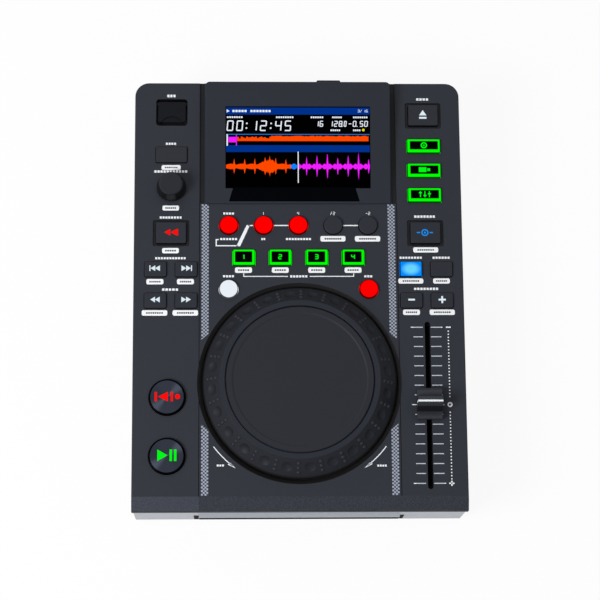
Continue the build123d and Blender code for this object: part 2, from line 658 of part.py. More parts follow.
def make_rear_sockets():
    inner_y = PANEL_Y - PANEL_T
    mouth_y = PANEL_Y + JACK_OUT
    with BuildPart() as rear_sockets:
        # phono jacks in one block
        with BuildSketch(upright(0, inner_y)):
            with Locations((sum(JACK_X) / 2, JACK_Z)):
                Rectangle(JACK_X[1] - JACK_X[0] + JACK_BLOCK, JACK_BLOCK)
        extrude(amount=JACK_BLOCK_D)
        for x in JACK_X:
            with BuildSketch(upright(x, mouth_y)):
                with Locations((0, JACK_Z)):
                    Circle(JACK_R)
            extrude(amount=PANEL_T + JACK_OUT + 1)
            with BuildSketch(upright(x, mouth_y)):
                with Locations((0, JACK_Z)):
                    Circle(JACK_R - JACK_RIM_T)
                    Circle(JACK_CORE_R, mode=Mode.SUBTRACT)
            extrude(amount=JACK_OUT - 1.5, mode=Mode.SUBTRACT)
            with BuildSketch(upright(x, mouth_y)):
                with Locations((0, JACK_Z)):
                    Circle(JACK_CONTACT_R)
            extrude(amount=JACK_OUT, mode=Mode.SUBTRACT)
        # square data socket
        with BuildSketch(upright(DATA_X, PANEL_Y + SOCKET_PROUD)):
            with Locations((0, JACK_Z)):
                Rectangle(*DATA_SOCKET)
        extrude(amount=16)
        with BuildSketch(upright(DATA_X, PANEL_Y + SOCKET_PROUD)):
            with Locations((0, JACK_Z)):
                Rectangle(*DATA_MOUTH)
                Rectangle(*DATA_TONGUE, mode=Mode.SUBTRACT)
        extrude(amount=SOCKET_DEPTH, mode=Mode.SUBTRACT)
        # low-voltage inlet
        with BuildSketch(upright(INLET_X, inner_y)):
            with Locations((0, JACK_Z)):
                Rectangle(10.0, 11.0)
        extrude(amount=13)
        with BuildSketch(upright(INLET_X, PANEL_Y + SOCKET_PROUD)):
            with Locations((0, JACK_Z)):
                Circle(INLET_R)
        extrude(amount=PANEL_T + SOCKET_PROUD + 1)
        with BuildSketch(upright(INLET_X, PANEL_Y + SOCKET_PROUD)):
            with Locations((0, JACK_Z)):
                Circle(INLET_BORE_R)
                Circle(INLET_PIN_R, mode=Mode.SUBTRACT)
        extrude(amount=SOCKET_DEPTH, mode=Mode.SUBTRACT)
        # housing of the power button
        with BuildSketch(upright(POWER_X, inner_y)):
            with Locations((0, POWER_Z)):
                Rectangle(POWER_W + 4, POWER_H + 3.4)
        extrude(amount=POWER_DEPTH + 2)
        with BuildSketch(upright(POWER_X, inner_y)):
            with Locations((0, POWER_Z)):
                RectangleRounded(*POWER_HOLE, POWER_R + PANEL_CLEAR)
        extrude(amount=POWER_DEPTH, mode=Mode.SUBTRACT)
    finish(rear_sockets.part, "rear_sockets")


def make_power_button():
    with BuildPart() as power_button:
        with BuildSketch(upright(POWER_X, PANEL_Y + POWER_OUT)):
            with Locations((0, POWER_Z)):
                RectangleRounded(POWER_W, POWER_H, POWER_R)
        extrude(amount=POWER_OUT + PANEL_T + POWER_DEPTH - POWER_TRAVEL - 0.5)
        fillet(power_button.faces().sort_by(Axis.Y)[-1].edges(), 0.9)
    finish(power_button.part, "power_button")


def make_rubber_feet():
    with BuildPart() as rubber_feet:
        with BuildSketch(level(0)):
            with GridLocations(2 * FOOT_X, 2 * FOOT_Y, 2, 2):
                Circle(FOOT_R)
        extrude(amount=FOOT_H, taper=-4)
        fillet(rubber_feet.faces().group_by(Axis.Z)[0].edges(), 0.8)
    finish(rubber_feet.part, "rubber_feet")


def make_case_screws():
    with BuildPart() as case_screws:
        with BuildSketch(level(BASE_Z)):
            with Locations(*post_places()):
                Circle(SCREW_SHANK_R)
        extrude(amount=SHEET + SCREW_L)
        with BuildSketch(level(BASE_Z - SCREW_HEAD_H)):
            with Locations(*post_places()):
                Circle(SCREW_HEAD_R)
        extrude(amount=SCREW_HEAD_H)
        with BuildSketch(level(BASE_Z - SCREW_HEAD_H)):
            with Locations(*post_places()):
                Rectangle(3.4, 0.9)
                Rectangle(0.9, 3.4)
        extrude(amount=1.0, mode=Mode.SUBTRACT)
    finish(case_screws.part, "case_screws")


# ---------------------------------------------------------------- display


def label_outline(slack):
    """Corners of the black label that runs from the screen to the hump's front edge."""
    label_y = HUMP_Y0 + 1.2 - WINDOW_Y
    screen_y = 1 - WINDOW_H / 2
    return (
        (LABEL_X0 - slack, label_y - slack),
        (LABEL_X1 + slack, label_y - slack),
        (LABEL_X1 - LABEL_SLANT + slack, screen_y),
        (LABEL_X0 + LABEL_SLANT - slack, screen_y),
    )


def make_display_housing():
    with BuildPart() as display_housing:
        with BuildSketch(along()):
            with BuildLine():
                Polyline(
                    (HUMP_Y0, PLATE_Z),
                    (HUMP_Y0, PLATE_Z + HUMP_FRONT_H),
                    (HUMP_Y1, PLATE_Z + HUMP_REAR_H),
                    (HUMP_Y1, PLATE_Z),
                    close=True,
                )
            make_face()
        extrude(amount=HUMP_W / 2, both=True)
        fillet(display_housing.edges().filter_by(Axis.Z).group_by(Axis.Y)[-1], HUMP_REAR_R)
        slope = display_housing.faces().sort_by(Axis.Z)[-1]
        fillet(slope.edges().sort_by(Axis.Y)[1:], 0.7)
        # hollow under the sloping face
        with BuildSketch(sloped(HUMP_WALL)):
            with Locations((0, (HUMP_Y0 + HUMP_Y1) / 2 - WINDOW_Y)):
                Rectangle(HUMP_W - 2 * HUMP_WALL, HUMP_Y1 - HUMP_Y0 - 2 * HUMP_WALL)
        extrude(amount=-30, mode=Mode.SUBTRACT)
        # seat of the window, then the opening in front of the screen
        with BuildSketch(sloped(WINDOW_T + 0.05)):
            Rectangle(WINDOW_W + 2 * WINDOW_FIT, WINDOW_H + 2 * WINDOW_FIT)
            with BuildLine():
                Polyline(*label_outline(WINDOW_FIT), close=True)
            make_face()
        extrude(amount=WINDOW_T + 2, mode=Mode.SUBTRACT)
        with BuildSketch(sloped(HUMP_WALL + 1)):
            Rectangle(WINDOW_W - 1.0, WINDOW_H - 1.4)
        extrude(amount=HUMP_WALL + 1, mode=Mode.SUBTRACT)
    finish(display_housing.part, "display_housing")


def make_display_window():
    with BuildPart() as display_window:
        with BuildSketch(sloped(WINDOW_T + 0.05)):
            Rectangle(WINDOW_W, WINDOW_H)
            with BuildLine():
                Polyline(*label_outline(0), close=True)
            make_face()
        extrude(amount=WINDOW_T)
    finish(display_window.part, "display_window")


def make_display_panel():
    with BuildPart() as display_panel:
        with BuildSketch(sloped(HUMP_WALL + SCREEN_T)):
            Rectangle(SCREEN_W, SCREEN_H)
        extrude(amount=SCREEN_T)
    finish(display_panel.part, "display_panel")


# ---------------------------------------------------------------- jog wheel


def make_jog_bearing():
    with BuildPart() as jog_bearing:
        with BuildSketch(level(WELL_Z - BUSH_DROP, 0, JOG_Y)):
            Circle(BUSH_R)
        extrude(amount=BUSH_DROP)
        with BuildSketch(level(WELL_Z, 0, JOG_Y)):
            Circle(BUSH_FLANGE_R)
        extrude(amount=BUSH_FLANGE_T)
        with BuildSketch(level(WELL_Z - BUSH_DROP, 0, JOG_Y)):
            Circle(JOG_SHAFT_R + RUN)
        extrude(amount=BUSH_DROP + BUSH_FLANGE_T, mode=Mode.SUBTRACT)
    finish(jog_bearing.part, "jog_bearing")


def make_jog_shaft():
    collar_r = JOG_SHAFT_R + 1.5
    with BuildPart() as jog_shaft:
        with BuildSketch(level(WELL_Z - BUSH_DROP - 1.2, 0, JOG_Y)):
            Circle(JOG_SHAFT_R)
        extrude(amount=SHAFT_TOP_Z - WELL_Z + BUSH_DROP + 1.2)
        # retaining clip under the bearing
        with BuildSketch(level(WELL_Z - BUSH_DROP - 0.9, 0, JOG_Y)):
            Circle(collar_r)
        extrude(amount=0.7)
    finish(jog_shaft.part, "jog_shaft")


def make_jog_ring():
    rim_z = WELL_Z + 1.2
    top_z = PLATE_Z + JOG_H
    foot = (JOG_R - 0.9, PLATE_Z + 2.4)
    run = foot[0] - JOG_FLAT_R
    fall = top_z - foot[1]
    slant = hypot(run, fall)
    # a dimple's sphere stands off the middle of the sloping band
    stand_off = DIMPLE_R - DIMPLE_DEPTH
    dimple_r = (JOG_FLAT_R + foot[0]) / 2 + stand_off * fall / slant
    dimple_z = (top_z + foot[1]) / 2 + stand_off * run / slant
    with BuildPart() as jog_ring:
        with BuildSketch(upright(0, JOG_Y)):
            with BuildLine():
                Polyline(
                    (JOG_TOP_R + 0.3, WEB_Z1),
                    (JOG_TOP_R + 0.3, top_z - 0.4),
                    (JOG_TOP_R + 0.7, top_z),
                    (JOG_FLAT_R, top_z),
                    foot,
                    (JOG_R, PLATE_Z + 1.2),
                    (JOG_R, rim_z),
                    (JOG_R - JOG_SHELL, rim_z),
                    (JOG_R - JOG_SHELL, PLATE_Z),
                    (JOG_FLAT_R - JOG_SHELL, WEB_Z0),
                    (JOG_BOSS_R, WEB_Z0),
                    (JOG_BOSS_R, WELL_Z + BUSH_FLANGE_T + 0.3),
                    (JOG_SHAFT_R + 0.02, WELL_Z + BUSH_FLANGE_T + 0.3),
                    (JOG_SHAFT_R + 0.02, WEB_Z1),
                    close=True,
                )
            make_face()
        revolve(axis=stand(0, JOG_Y))
        with Locations(level(dimple_z, 0, JOG_Y)):
            with PolarLocations(dimple_r, DIMPLES, start_angle=DIMPLE_START):
                Sphere(DIMPLE_R, mode=Mode.SUBTRACT)
    finish(jog_ring.part, "jog_ring")


def make_jog_plate():
    top_z = PLATE_Z + JOG_H - 0.3
    with BuildPart() as jog_plate:
        with BuildSketch(upright(0, JOG_Y)):
            with BuildLine():
                Polyline(
                    (0, WEB_Z1),
                    (JOG_TOP_R, WEB_Z1),
                    (JOG_TOP_R, top_z - 0.7),
                    (JOG_TOP_R - 0.7, top_z),
                    (JOG_TOP_R - 4.0, top_z),
                    (JOG_TOP_R - 5.0, top_z - 0.4),
                    (0, top_z - 0.4),
                    close=True,
                )
            make_face()
        revolve(axis=stand(0, JOG_Y))
    finish(jog_plate.part, "jog_plate")


# ---------------------------------------------------------------- keys, knob and fader


def make_rect_key(name, x, y, size, proud, corner):
    flange_z = UNDER_Z - FLANGE_GAP - FLANGE_T
    with BuildPart() as key:
        with BuildSketch(level(flange_z, x, y)):
            RectangleRounded(*size, corner)
        extrude(amount=PLATE_Z + proud - flange_z)
        fillet(key.faces().sort_by(Axis.Z)[-1].edges(), 0.5)
        with BuildSketch(level(flange_z, x, y)):
            RectangleRounded(size[0] + 2 * FLANGE_W, size[1] + 2 * FLANGE_W, corner)
        extrude(amount=FLANGE_T)
        with BuildSketch(level(KEY_FOOT_Z, x, y)):
            Circle(STEM_R)
        extrude(amount=STEM_L)
    finish(key.part, name)


def make_round_key(name, x, y, radius, proud):
    flange_z = UNDER_Z - FLANGE_GAP - FLANGE_T
    with BuildPart() as key:
        with BuildSketch(level(flange_z, x, y)):
            Circle(radius)
        extrude(amount=PLATE_Z + proud - flange_z)
        fillet(key.faces().sort_by(Axis.Z)[-1].edges(), 0.7)
        with BuildSketch(level(flange_z, x, y)):
            Circle(radius + FLANGE_W)
        extrude(amount=FLANGE_T)
        with BuildSketch(level(KEY_FOOT_Z, x, y)):
            Circle(STEM_R)
        extrude(amount=STEM_L)
    finish(key.part, name)


def make_browse_shaft():
    with BuildPart() as browse_shaft:
        with BuildSketch(level(BOARD_Z + 2.0, -COLUMN_X, BROWSE_Y)):
            Circle(BROWSE_R)
        extrude(amount=PLATE_Z + KNOB_LIFT + KNOB_H - 2.0 - BOARD_Z - 2.0)
    finish(browse_shaft.part, "browse_shaft")


def make_browse_knob():
    foot_z = PLATE_Z + KNOB_LIFT
    with BuildPart() as browse_knob:
        with BuildSketch(upright(-COLUMN_X, BROWSE_Y)):
            with BuildLine():
                Polyline(
                    (0, foot_z + 1.5),
                    (KNOB_R - 1.6, foot_z + 1.5),
                    (KNOB_R - 1.6, foot_z),
                    (KNOB_R, foot_z),
                    (KNOB_TOP_R, foot_z + KNOB_H - 0.8),
                    (KNOB_TOP_R - 0.8, foot_z + KNOB_H),
                    (0, foot_z + KNOB_H),
                    close=True,
                )
            make_face()
        revolve(axis=stand(-COLUMN_X, BROWSE_Y))
        with BuildSketch(level(foot_z, -COLUMN_X, BROWSE_Y)):
            with PolarLocations(KNOB_R + 0.15, KNOB_RIBS):
                Circle(KNOB_RIB_R)
        extrude(amount=KNOB_H - 1.6, taper=9, mode=Mode.SUBTRACT)
        with BuildSketch(level(foot_z, -COLUMN_X, BROWSE_Y)):
            Circle(BROWSE_R + RUN)
        extrude(amount=KNOB_H - 1.8, mode=Mode.SUBTRACT)
    finish(browse_knob.part, "browse_knob")


def make_fader_body():
    channel_z = UNDER_Z - FADER_BODY_H + 2.0
    with BuildPart() as fader_body:
        with BuildSketch(level(UNDER_Z - FADER_BODY_H, COLUMN_X, FADER_Y)):
            Rectangle(FADER_BODY_W, FADER_BODY_L)
        extrude(amount=FADER_BODY_H)
        with BuildSketch(level(channel_z, COLUMN_X, FADER_Y)):
            Rectangle(TONGUE[0] + 0.8, 2 * FADER_TRAVEL + TONGUE[1] + 2)
        extrude(amount=FADER_BODY_H, mode=Mode.SUBTRACT)
    finish(fader_body.part, "fader_body")


def make_fader_cap():
    foot_z = PLATE_Z + CAP_LIFT
    half = CAP_L / 2
    with BuildPart() as fader_cap:
        with BuildSketch(along(COLUMN_X)):
            with BuildLine():
                Polyline(
                    (FADER_Y - half, foot_z),
                    (FADER_Y - half, foot_z + CAP_LEDGE_H - 1.5),
                    (FADER_Y - half + 1.5, foot_z + CAP_LEDGE_H),
                    (FADER_Y - 5.0, foot_z + CAP_LEDGE_H - 0.8),
                    (FADER_Y - 3.2, foot_z + CAP_H - CAP_LIFT - 0.6),
                    (FADER_Y - 2.4, foot_z + CAP_H - CAP_LIFT),
                    (FADER_Y + 2.4, foot_z + CAP_H - CAP_LIFT),
                    (FADER_Y + 3.2, foot_z + CAP_H - CAP_LIFT - 0.6),
                    (FADER_Y + 5.0, foot_z + CAP_LEDGE_H - 0.8),
                    (FADER_Y + half - 1.5, foot_z + CAP_LEDGE_H),
                    (FADER_Y + half, foot_z + CAP_LEDGE_H - 1.5),
                    (FADER_Y + half, foot_z),
                    close=True,
                )
            make_face()
        extrude(amount=CAP_W / 2, both=True)
        with BuildSketch(level(UNDER_Z - FADER_BODY_H + 2.6, COLUMN_X, FADER_Y)):
            Rectangle(*TONGUE)
        extrude(amount=foot_z - UNDER_Z + FADER_BODY_H - 2.6)
    finish(fader_cap.part, "fader_cap")


# ---------------------------------------------------------------- USB port under its lid


def make_usb_socket():
    top_z = PLATE_Z - USB_WELL_DEPTH
    with BuildPart() as usb_socket:
        with BuildSketch(level(top_z - USB_SOCKET_H, -COLUMN_X, USB_Y)):
            Rectangle(*USB_SOCKET)
        extrude(amount=USB_SOCKET_H)
        with BuildSketch(level(BOARD_Z, -COLUMN_X, USB_Y)):
            Rectangle(USB_SOCKET[0] + 3, USB_SOCKET[1] + 3)
        extrude(amount=0.8)
        with BuildSketch(level(top_z - USB_SOCKET_H + 1, -COLUMN_X, USB_Y)):
            Rectangle(*USB_MOUTH)
            with Locations((0, -0.9)):
                Rectangle(11.0, 1.8, mode=Mode.SUBTRACT)
        extrude(amount=USB_SOCKET_H, mode=Mode.SUBTRACT)
    finish(usb_socket.part, "usb_socket")


def make_usb_cover():
    foot_z = PLATE_Z - USB_LID_DROP - USB_LID_T
    with BuildPart() as usb_cover:
        with BuildSketch(level(foot_z, -COLUMN_X, USB_LID_Y)):
            RectangleRounded(*USB_LID, 1.2)
        extrude(amount=USB_LID_T)
        with BuildSketch(level(PLATE_Z - USB_LID_DROP - 0.7, -COLUMN_X, USB_LID_Y)):
            with Locations((0, -USB_LID[1] / 2 - 4.6)):
                Circle(8.6)
        extrude(amount=2, mode=Mode.SUBTRACT)
        with BuildSketch(along(-COLUMN_X)):
            with Locations((HINGE_USB_Y, HINGE_USB_Z)):
                Circle(USB_PIN_R)
        extrude(amount=USB_WELL[0] / 2 + 1.2, both=True)
    finish(usb_cover.part, "usb_cover")


# ---------------------------------------------------------------- boards


def key_places():
    """Places of all the keys on the deck."""
    return [(x, y) for _, x, y, *_ in RECT_KEYS + ROUND_KEYS]


def make_button_boards():
    tact_top = KEY_FOOT_Z - TRAVEL - TACT_TOP_GAP
    half = SIDE_BOARD_W / 2
    left_y = (-HALF_D + LEFT_BOARD_FRONT, HALF_D - SIDE_BOARD_REAR)
    right_y = (RIGHT_BOARD_Y0, HALF_D - SIDE_BOARD_REAR)
    with BuildPart() as button_boards:
        with BuildSketch(level(BOARD_Z - BOARD_T)):
            with Locations((-COLUMN_X + 1, sum(left_y) / 2)):
                Rectangle(2 * half, left_y[1] - left_y[0])
            with Locations((COLUMN_X - 1, sum(right_y) / 2)):
                Rectangle(2 * half, right_y[1] - right_y[0])
            with Locations((0, MIDDLE_BOARD_Y)):
                Rectangle(*MIDDLE_BOARD)
            with Locations((-COLUMN_X, USB_Y)):
                Rectangle(USB_SOCKET[0] + 0.6, USB_SOCKET[1] + 0.6, mode=Mode.SUBTRACT)
        extrude(amount=BOARD_T)
        with BuildSketch(level(BOARD_Z)):
            with Locations(*key_places()):
                Rectangle(TACT, TACT)
        extrude(amount=TACT_H)
        with BuildSketch(level(BOARD_Z + TACT_H)):
            with Locations(*key_places()):
                Circle(TACT_PLUNGER_R)
        extrude(amount=tact_top - BOARD_Z - TACT_H)
        # encoder under the browse knob
        with BuildSketch(level(BOARD_Z, -COLUMN_X, BROWSE_Y)):
            Rectangle(12.0, 12.0)
            Circle(BROWSE_R + RUN, mode=Mode.SUBTRACT)
        extrude(amount=6.5)
    finish(button_boards.part, "button_boards")


def make_main_board():
    with BuildPart() as main_board:
        with BuildSketch(level(MAIN_BOARD_Z, 0, MAIN_BOARD_Y)):
            Rectangle(*MAIN_BOARD)
        extrude(amount=BOARD_T)
        for x, y, w, d, h in CHIPS:
            with BuildSketch(level(MAIN_BOARD_Z + BOARD_T, x, y)):
                Rectangle(w, d)
            extrude(amount=h)
        with BuildSketch(level(MAIN_BOARD_Z + BOARD_T, 72.0, 70.0)):
            with GridLocations(CAPACITOR_PITCH, CAPACITOR_PITCH, 2, 2):
                Circle(CAPACITOR_R)
        extrude(amount=CAPACITOR_H)
    finish(main_board.part, "main_board")


# ---------------------------------------------------------------- disc drive


def make_drive_base():
    depth = DRIVE_Y1 - DRIVE_Y0
    mid_y = (DRIVE_Y0 + DRIVE_Y1) / 2
    inner_half = DRIVE_HALF - DRIVE_RIM_T
    window_y0 = TRAVERSE_Y0 - TRAVERSE_GAP
    window_y1 = TRAVERSE_Y1 + TRAVERSE_GAP
    lug_x = TRAVERSE_HALF + TRAVERSE_GAP + 1.0
    with BuildPart() as drive_base:
        with BuildSketch(level(DRIVE_DECK_Z, 0, mid_y)):
            Rectangle(2 * DRIVE_HALF, depth)
        extrude(amount=DRIVE_LID_Z - DRIVE_DECK_Z)
        with BuildSketch(level(DRIVE_DECK_Z + DRIVE_T, 0, mid_y - DRIVE_RIM_T)):
            Rectangle(2 * inner_half, depth)
        extrude(amount=DRIVE_LID_Z, mode=Mode.SUBTRACT)
        # feet on the base tray
        with BuildSketch(level(FLOOR_Z, 0, mid_y)):
            with GridLocations(2 * DRIVE_HALF - 8, depth - 8, 2, 2):
                Circle(3.5)
        extrude(amount=DRIVE_DECK_Z - FLOOR_Z)
        # windows for the traverse unit and for the loading roller
        with BuildSketch(level(DRIVE_DECK_Z - 1)):
            with Locations((0, (window_y0 + window_y1) / 2)):
                Rectangle(2 * (TRAVERSE_HALF + TRAVERSE_GAP), window_y1 - window_y0)
            with Locations((0, ROLLER_Y)):
                Rectangle(2 * ROLLER_HALF + 1, 2 * ROLLER_R + 1)
        extrude(amount=DRIVE_T + 2, mode=Mode.SUBTRACT)
        # lugs that carry the traverse unit's hinge pins
        with BuildSketch(level(DRIVE_DECK_Z, 0, HINGE_Y)):
            with Locations((lug_x, 0), (-lug_x, 0)):
                Rectangle(2.0, 6.0)
        extrude(amount=HINGE_Z + 2 - DRIVE_DECK_Z)
        with BuildSketch(along()):
            with Locations((HINGE_Y, HINGE_Z)):
                Circle(HINGE_R + RUN)
        extrude(amount=lug_x + 1, both=True, mode=Mode.SUBTRACT)
        # bores in the rims for the roller's shaft
        with BuildSketch(along()):
            with Locations((ROLLER_Y, ROLLER_Z)):
                Circle(ROLLER_PIN_R + RUN)
        extrude(amount=DRIVE_HALF, both=True, mode=Mode.SUBTRACT)
    finish(drive_base.part, "drive_base")


def make_drive_lid():
    mid_y = (DRIVE_Y0 + DRIVE_Y1) / 2
    with BuildPart() as drive_lid:
        with BuildSketch(level(DRIVE_LID_Z, 0, mid_y)):
            Rectangle(2 * DRIVE_HALF, DRIVE_Y1 - DRIVE_Y0)
        extrude(amount=DRIVE_T)
        with BuildSketch(level(DRIVE_LID_Z, 0, DRIVE_Y0 + DRIVE_T / 2)):
            Rectangle(2 * DRIVE_HALF, DRIVE_T)
        extrude(amount=SHIELD_Z1 - DRIVE_LID_Z)
        # pressed stiffening ring over the disc's middle
        with BuildSketch(level(DRIVE_LID_Z + DRIVE_T, 0, DISC_Y)):
            Circle(STIFFENER_R)
            Circle(STIFFENER_R - 3, mode=Mode.SUBTRACT)
        extrude(amount=0.8)
    finish(drive_lid.part, "drive_lid")


def make_drive_traverse():
    lug_y = (SLED_Y0 - SCREW_LUG_T / 2, SLED_Y1 + SCREW_LUG_T / 2)
    deck_y = (TRAVERSE_Y0 + TRAVERSE_Y1) / 2
    with BuildPart() as drive_traverse:
        with BuildSketch(level(DRIVE_DECK_Z, 0, deck_y)):
            Rectangle(2 * TRAVERSE_HALF, TRAVERSE_Y1 - TRAVERSE_Y0)
        extrude(amount=DRIVE_T)
        # ears with the hinge pins
        with BuildSketch(level(DRIVE_DECK_Z, 0, HINGE_Y)):
            with Locations((TRAVERSE_HALF - 1, 0), (1 - TRAVERSE_HALF, 0)):
                Rectangle(2.0, 5.0)
        extrude(amount=HINGE_Z + 1.5 - DRIVE_DECK_Z)
        for side in (-1, 1):
            with BuildSketch(along(side * (TRAVERSE_HALF - 1))):
                with Locations((HINGE_Y, HINGE_Z)):
                    Circle(HINGE_R)
            extrude(amount=side * (TRAVERSE_GAP + 2.6))
        # holes for the motor and for the sled's track
        with BuildSketch(level(DRIVE_DECK_Z - 1)):
            with Locations((0, DISC_Y)):
                Circle(MOTOR_R + 0.3)
            with Locations((0, (SLED_Y0 + SLED_Y1) / 2)):
                Rectangle(SLED[0] + 2 * SLED_TRACK_GAP, SLED_Y1 - SLED_Y0)
            with Locations((SCREW_X, SCREW_Y0 - GEAR_T / 2)):
                Rectangle(2 * GEAR_R + 1, GEAR_T + 1)
        extrude(amount=DRIVE_T + 2, mode=Mode.SUBTRACT)
        # end bearings of the lead screw
        with BuildSketch(level(SLED_Z)):
            for y in lug_y:
                with Locations((SCREW_X, y)):
                    Rectangle(5.0, SCREW_LUG_T)
        extrude(amount=SLED_H)
        with BuildSketch(upright(SCREW_X, lug_y[1] + SCREW_LUG_T)):
            with Locations((0, SCREW_Z)):
                Circle(SCREW_R + RUN)
        extrude(amount=lug_y[1] - lug_y[0] + 2 * SCREW_LUG_T, mode=Mode.SUBTRACT)
    finish(drive_traverse.part, "drive_traverse")


def make_spindle_motor():
    flange_z = DRIVE_DECK_Z + DRIVE_T
    with BuildPart() as spindle_motor:
        with BuildSketch(level(MOTOR_Z0, 0, DISC_Y)):
            Circle(MOTOR_R)
        extrude(amount=flange_z - MOTOR_Z0)
        with BuildSketch(level(flange_z, 0, DISC_Y)):
            Circle(MOTOR_R + 2)
        extrude(amount=0.8)
        with BuildSketch(level(MOTOR_Z0 + 0.6, 0, DISC_Y)):
            Circle(MOTOR_SHAFT_R + RUN)
        extrude(amount=5, mode=Mode.SUBTRACT)
    finish(spindle_motor.part, "spindle_motor")


def make_spindle_hub():
    seat_z = DRIVE_DECK_Z + DRIVE_T + 1.2
    with BuildPart() as spindle_hub:
        with BuildSketch(upright(0, DISC_Y)):
            with BuildLine():
                Polyline(
                    (0, MOTOR_Z0 + 0.9),
                    (MOTOR_SHAFT_R, MOTOR_Z0 + 0.9),
                    (MOTOR_SHAFT_R, seat_z),
                    (HUB_R, seat_z),
                    (HUB_R, HUB_Z),
                    (HUB_CONE_R, HUB_Z),
                    (HUB_CONE_R, HUB_Z + 0.8),
                    (HUB_CONE_R - 1.6, HUB_TOP_Z),
                    (0, HUB_TOP_Z),
                    close=True,
                )
            make_face()
        revolve(axis=stand(0, DISC_Y))
    finish(spindle_hub.part, "spindle_hub")


def make_laser_sled():
    lens_y = DISC_Y + SLED_START
    with BuildPart() as laser_sled:
        with BuildSketch(level(SLED_Z, 0, lens_y)):
            RectangleRounded(*SLED, 1.5)
        extrude(amount=SLED_H)
        with BuildSketch(level(SLED_Z + SLED_H, 0, lens_y)):
            Circle(2 * LENS_R)
        extrude(amount=0.8)
        with BuildSketch(level(SLED_Z + SLED_H + 0.8, 0, lens_y)):
            Circle(LENS_R)
        extrude(amount=0.5)
        with BuildSketch(upright(SCREW_X, lens_y + SLED[1])):
            with Locations((0, SCREW_Z)):
                Circle(SCREW_R + 0.1)
        extrude(amount=2 * SLED[1], mode=Mode.SUBTRACT)
    finish(laser_sled.part, "laser_sled")


def make_lead_screw():
    with BuildPart() as lead_screw:
        with BuildSketch(upright(SCREW_X, SCREW_Y1)):
            with Locations((0, SCREW_Z)):
                Circle(SCREW_R)
        extrude(amount=SCREW_Y1 - SCREW_Y0)
        # drive gear at the spindle end
        with BuildSketch(upright(SCREW_X, SCREW_Y0)):
            with Locations((0, SCREW_Z)):
                Circle(GEAR_R)
        extrude(amount=GEAR_T)
    finish(lead_screw.part, "lead_screw")


def make_loading_roller():
    with BuildPart() as loading_roller:
        with BuildSketch(Plane(origin=(0, BODY_Y + ROLLER_Y, ROLLER_Z))):
            with BuildLine():
                Polyline(
                    (-DRIVE_HALF + 0.1, 0),
                    (-DRIVE_HALF + 0.1, ROLLER_PIN_R),
                    (-ROLLER_HALF, ROLLER_PIN_R),
                    (-ROLLER_HALF, ROLLER_R),
                    (0, ROLLER_WAIST_R),
                    (ROLLER_HALF, ROLLER_R),
                    (ROLLER_HALF, ROLLER_PIN_R),
                    (DRIVE_HALF - 0.1, ROLLER_PIN_R),
                    (DRIVE_HALF - 0.1, 0),
                    close=True,
                )
            make_face()
        revolve(axis=Axis((0, BODY_Y + ROLLER_Y, ROLLER_Z), (1, 0, 0)))
    finish(loading_roller.part, "loading_roller")


# ---------------------------------------------------------------- all pieces

make_top_cover()
make_base_tray()
make_front_fascia()
make_slot_felt()
make_rear_panel()
make_rear_sockets()
make_power_button()
make_rubber_feet()
make_case_screws()
make_display_housing()
make_display_window()
make_display_panel()
make_jog_bearing()
make_jog_shaft()
make_jog_ring()
make_jog_plate()
for key_sizes in RECT_KEYS:
    make_rect_key(*key_sizes)
for key_sizes in ROUND_KEYS:
    make_round_key(*key_sizes)
make_browse_shaft()
make_browse_knob()
make_fader_body()
make_fader_cap()
make_usb_socket()
make_usb_cover()
make_button_boards()
make_main_board()
make_drive_base()
make_drive_lid()
make_drive_traverse()
make_spindle_motor()
make_spindle_hub()
make_laser_sled()
make_lead_screw()
make_loading_roller()
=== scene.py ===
"""Looks of a tabletop disc player for DJs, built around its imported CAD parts.

Places are in millimetres from the middle of the deck's top plate: x to the right, y to the rear and
z over the plate. The matrices below turn them into the shared frame, which is in metres.
"""
import json
import logging
import math
import random
from collections.abc import Callable
from dataclasses import dataclass, field
from enum import Enum

import bmesh
import bpy
from mathutils import Matrix, Vector


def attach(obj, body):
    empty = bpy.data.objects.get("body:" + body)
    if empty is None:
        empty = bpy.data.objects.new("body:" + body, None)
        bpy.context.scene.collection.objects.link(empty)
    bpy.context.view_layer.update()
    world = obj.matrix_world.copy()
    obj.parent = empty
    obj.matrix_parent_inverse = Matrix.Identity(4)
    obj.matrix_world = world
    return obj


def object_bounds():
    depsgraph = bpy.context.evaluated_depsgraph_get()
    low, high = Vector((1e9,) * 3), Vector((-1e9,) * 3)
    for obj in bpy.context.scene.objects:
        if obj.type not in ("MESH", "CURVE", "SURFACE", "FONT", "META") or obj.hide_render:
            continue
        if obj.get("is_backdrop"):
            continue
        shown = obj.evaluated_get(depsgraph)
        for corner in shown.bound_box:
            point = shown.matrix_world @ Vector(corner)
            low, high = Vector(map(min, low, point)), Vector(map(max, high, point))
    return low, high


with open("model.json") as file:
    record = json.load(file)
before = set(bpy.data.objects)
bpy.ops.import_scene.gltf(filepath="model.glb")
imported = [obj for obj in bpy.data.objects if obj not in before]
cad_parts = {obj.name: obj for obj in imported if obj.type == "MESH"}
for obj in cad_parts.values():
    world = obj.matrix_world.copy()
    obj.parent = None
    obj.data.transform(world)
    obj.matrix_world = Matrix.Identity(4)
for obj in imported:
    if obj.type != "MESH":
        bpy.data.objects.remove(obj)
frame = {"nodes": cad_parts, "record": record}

LOG = logging.getLogger("disc_player")
CAD_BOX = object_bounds()

Point = tuple[float, float]
Spot = tuple[float, float, float]
Outline = list[Point]
Tone = tuple[int, int, int]
Rgba = tuple[float, float, float, float]
Socket = bpy.types.NodeSocket
Tree = bpy.types.NodeTree
Mesh = bpy.types.Mesh
Piece = bpy.types.Object
Material = bpy.types.Material

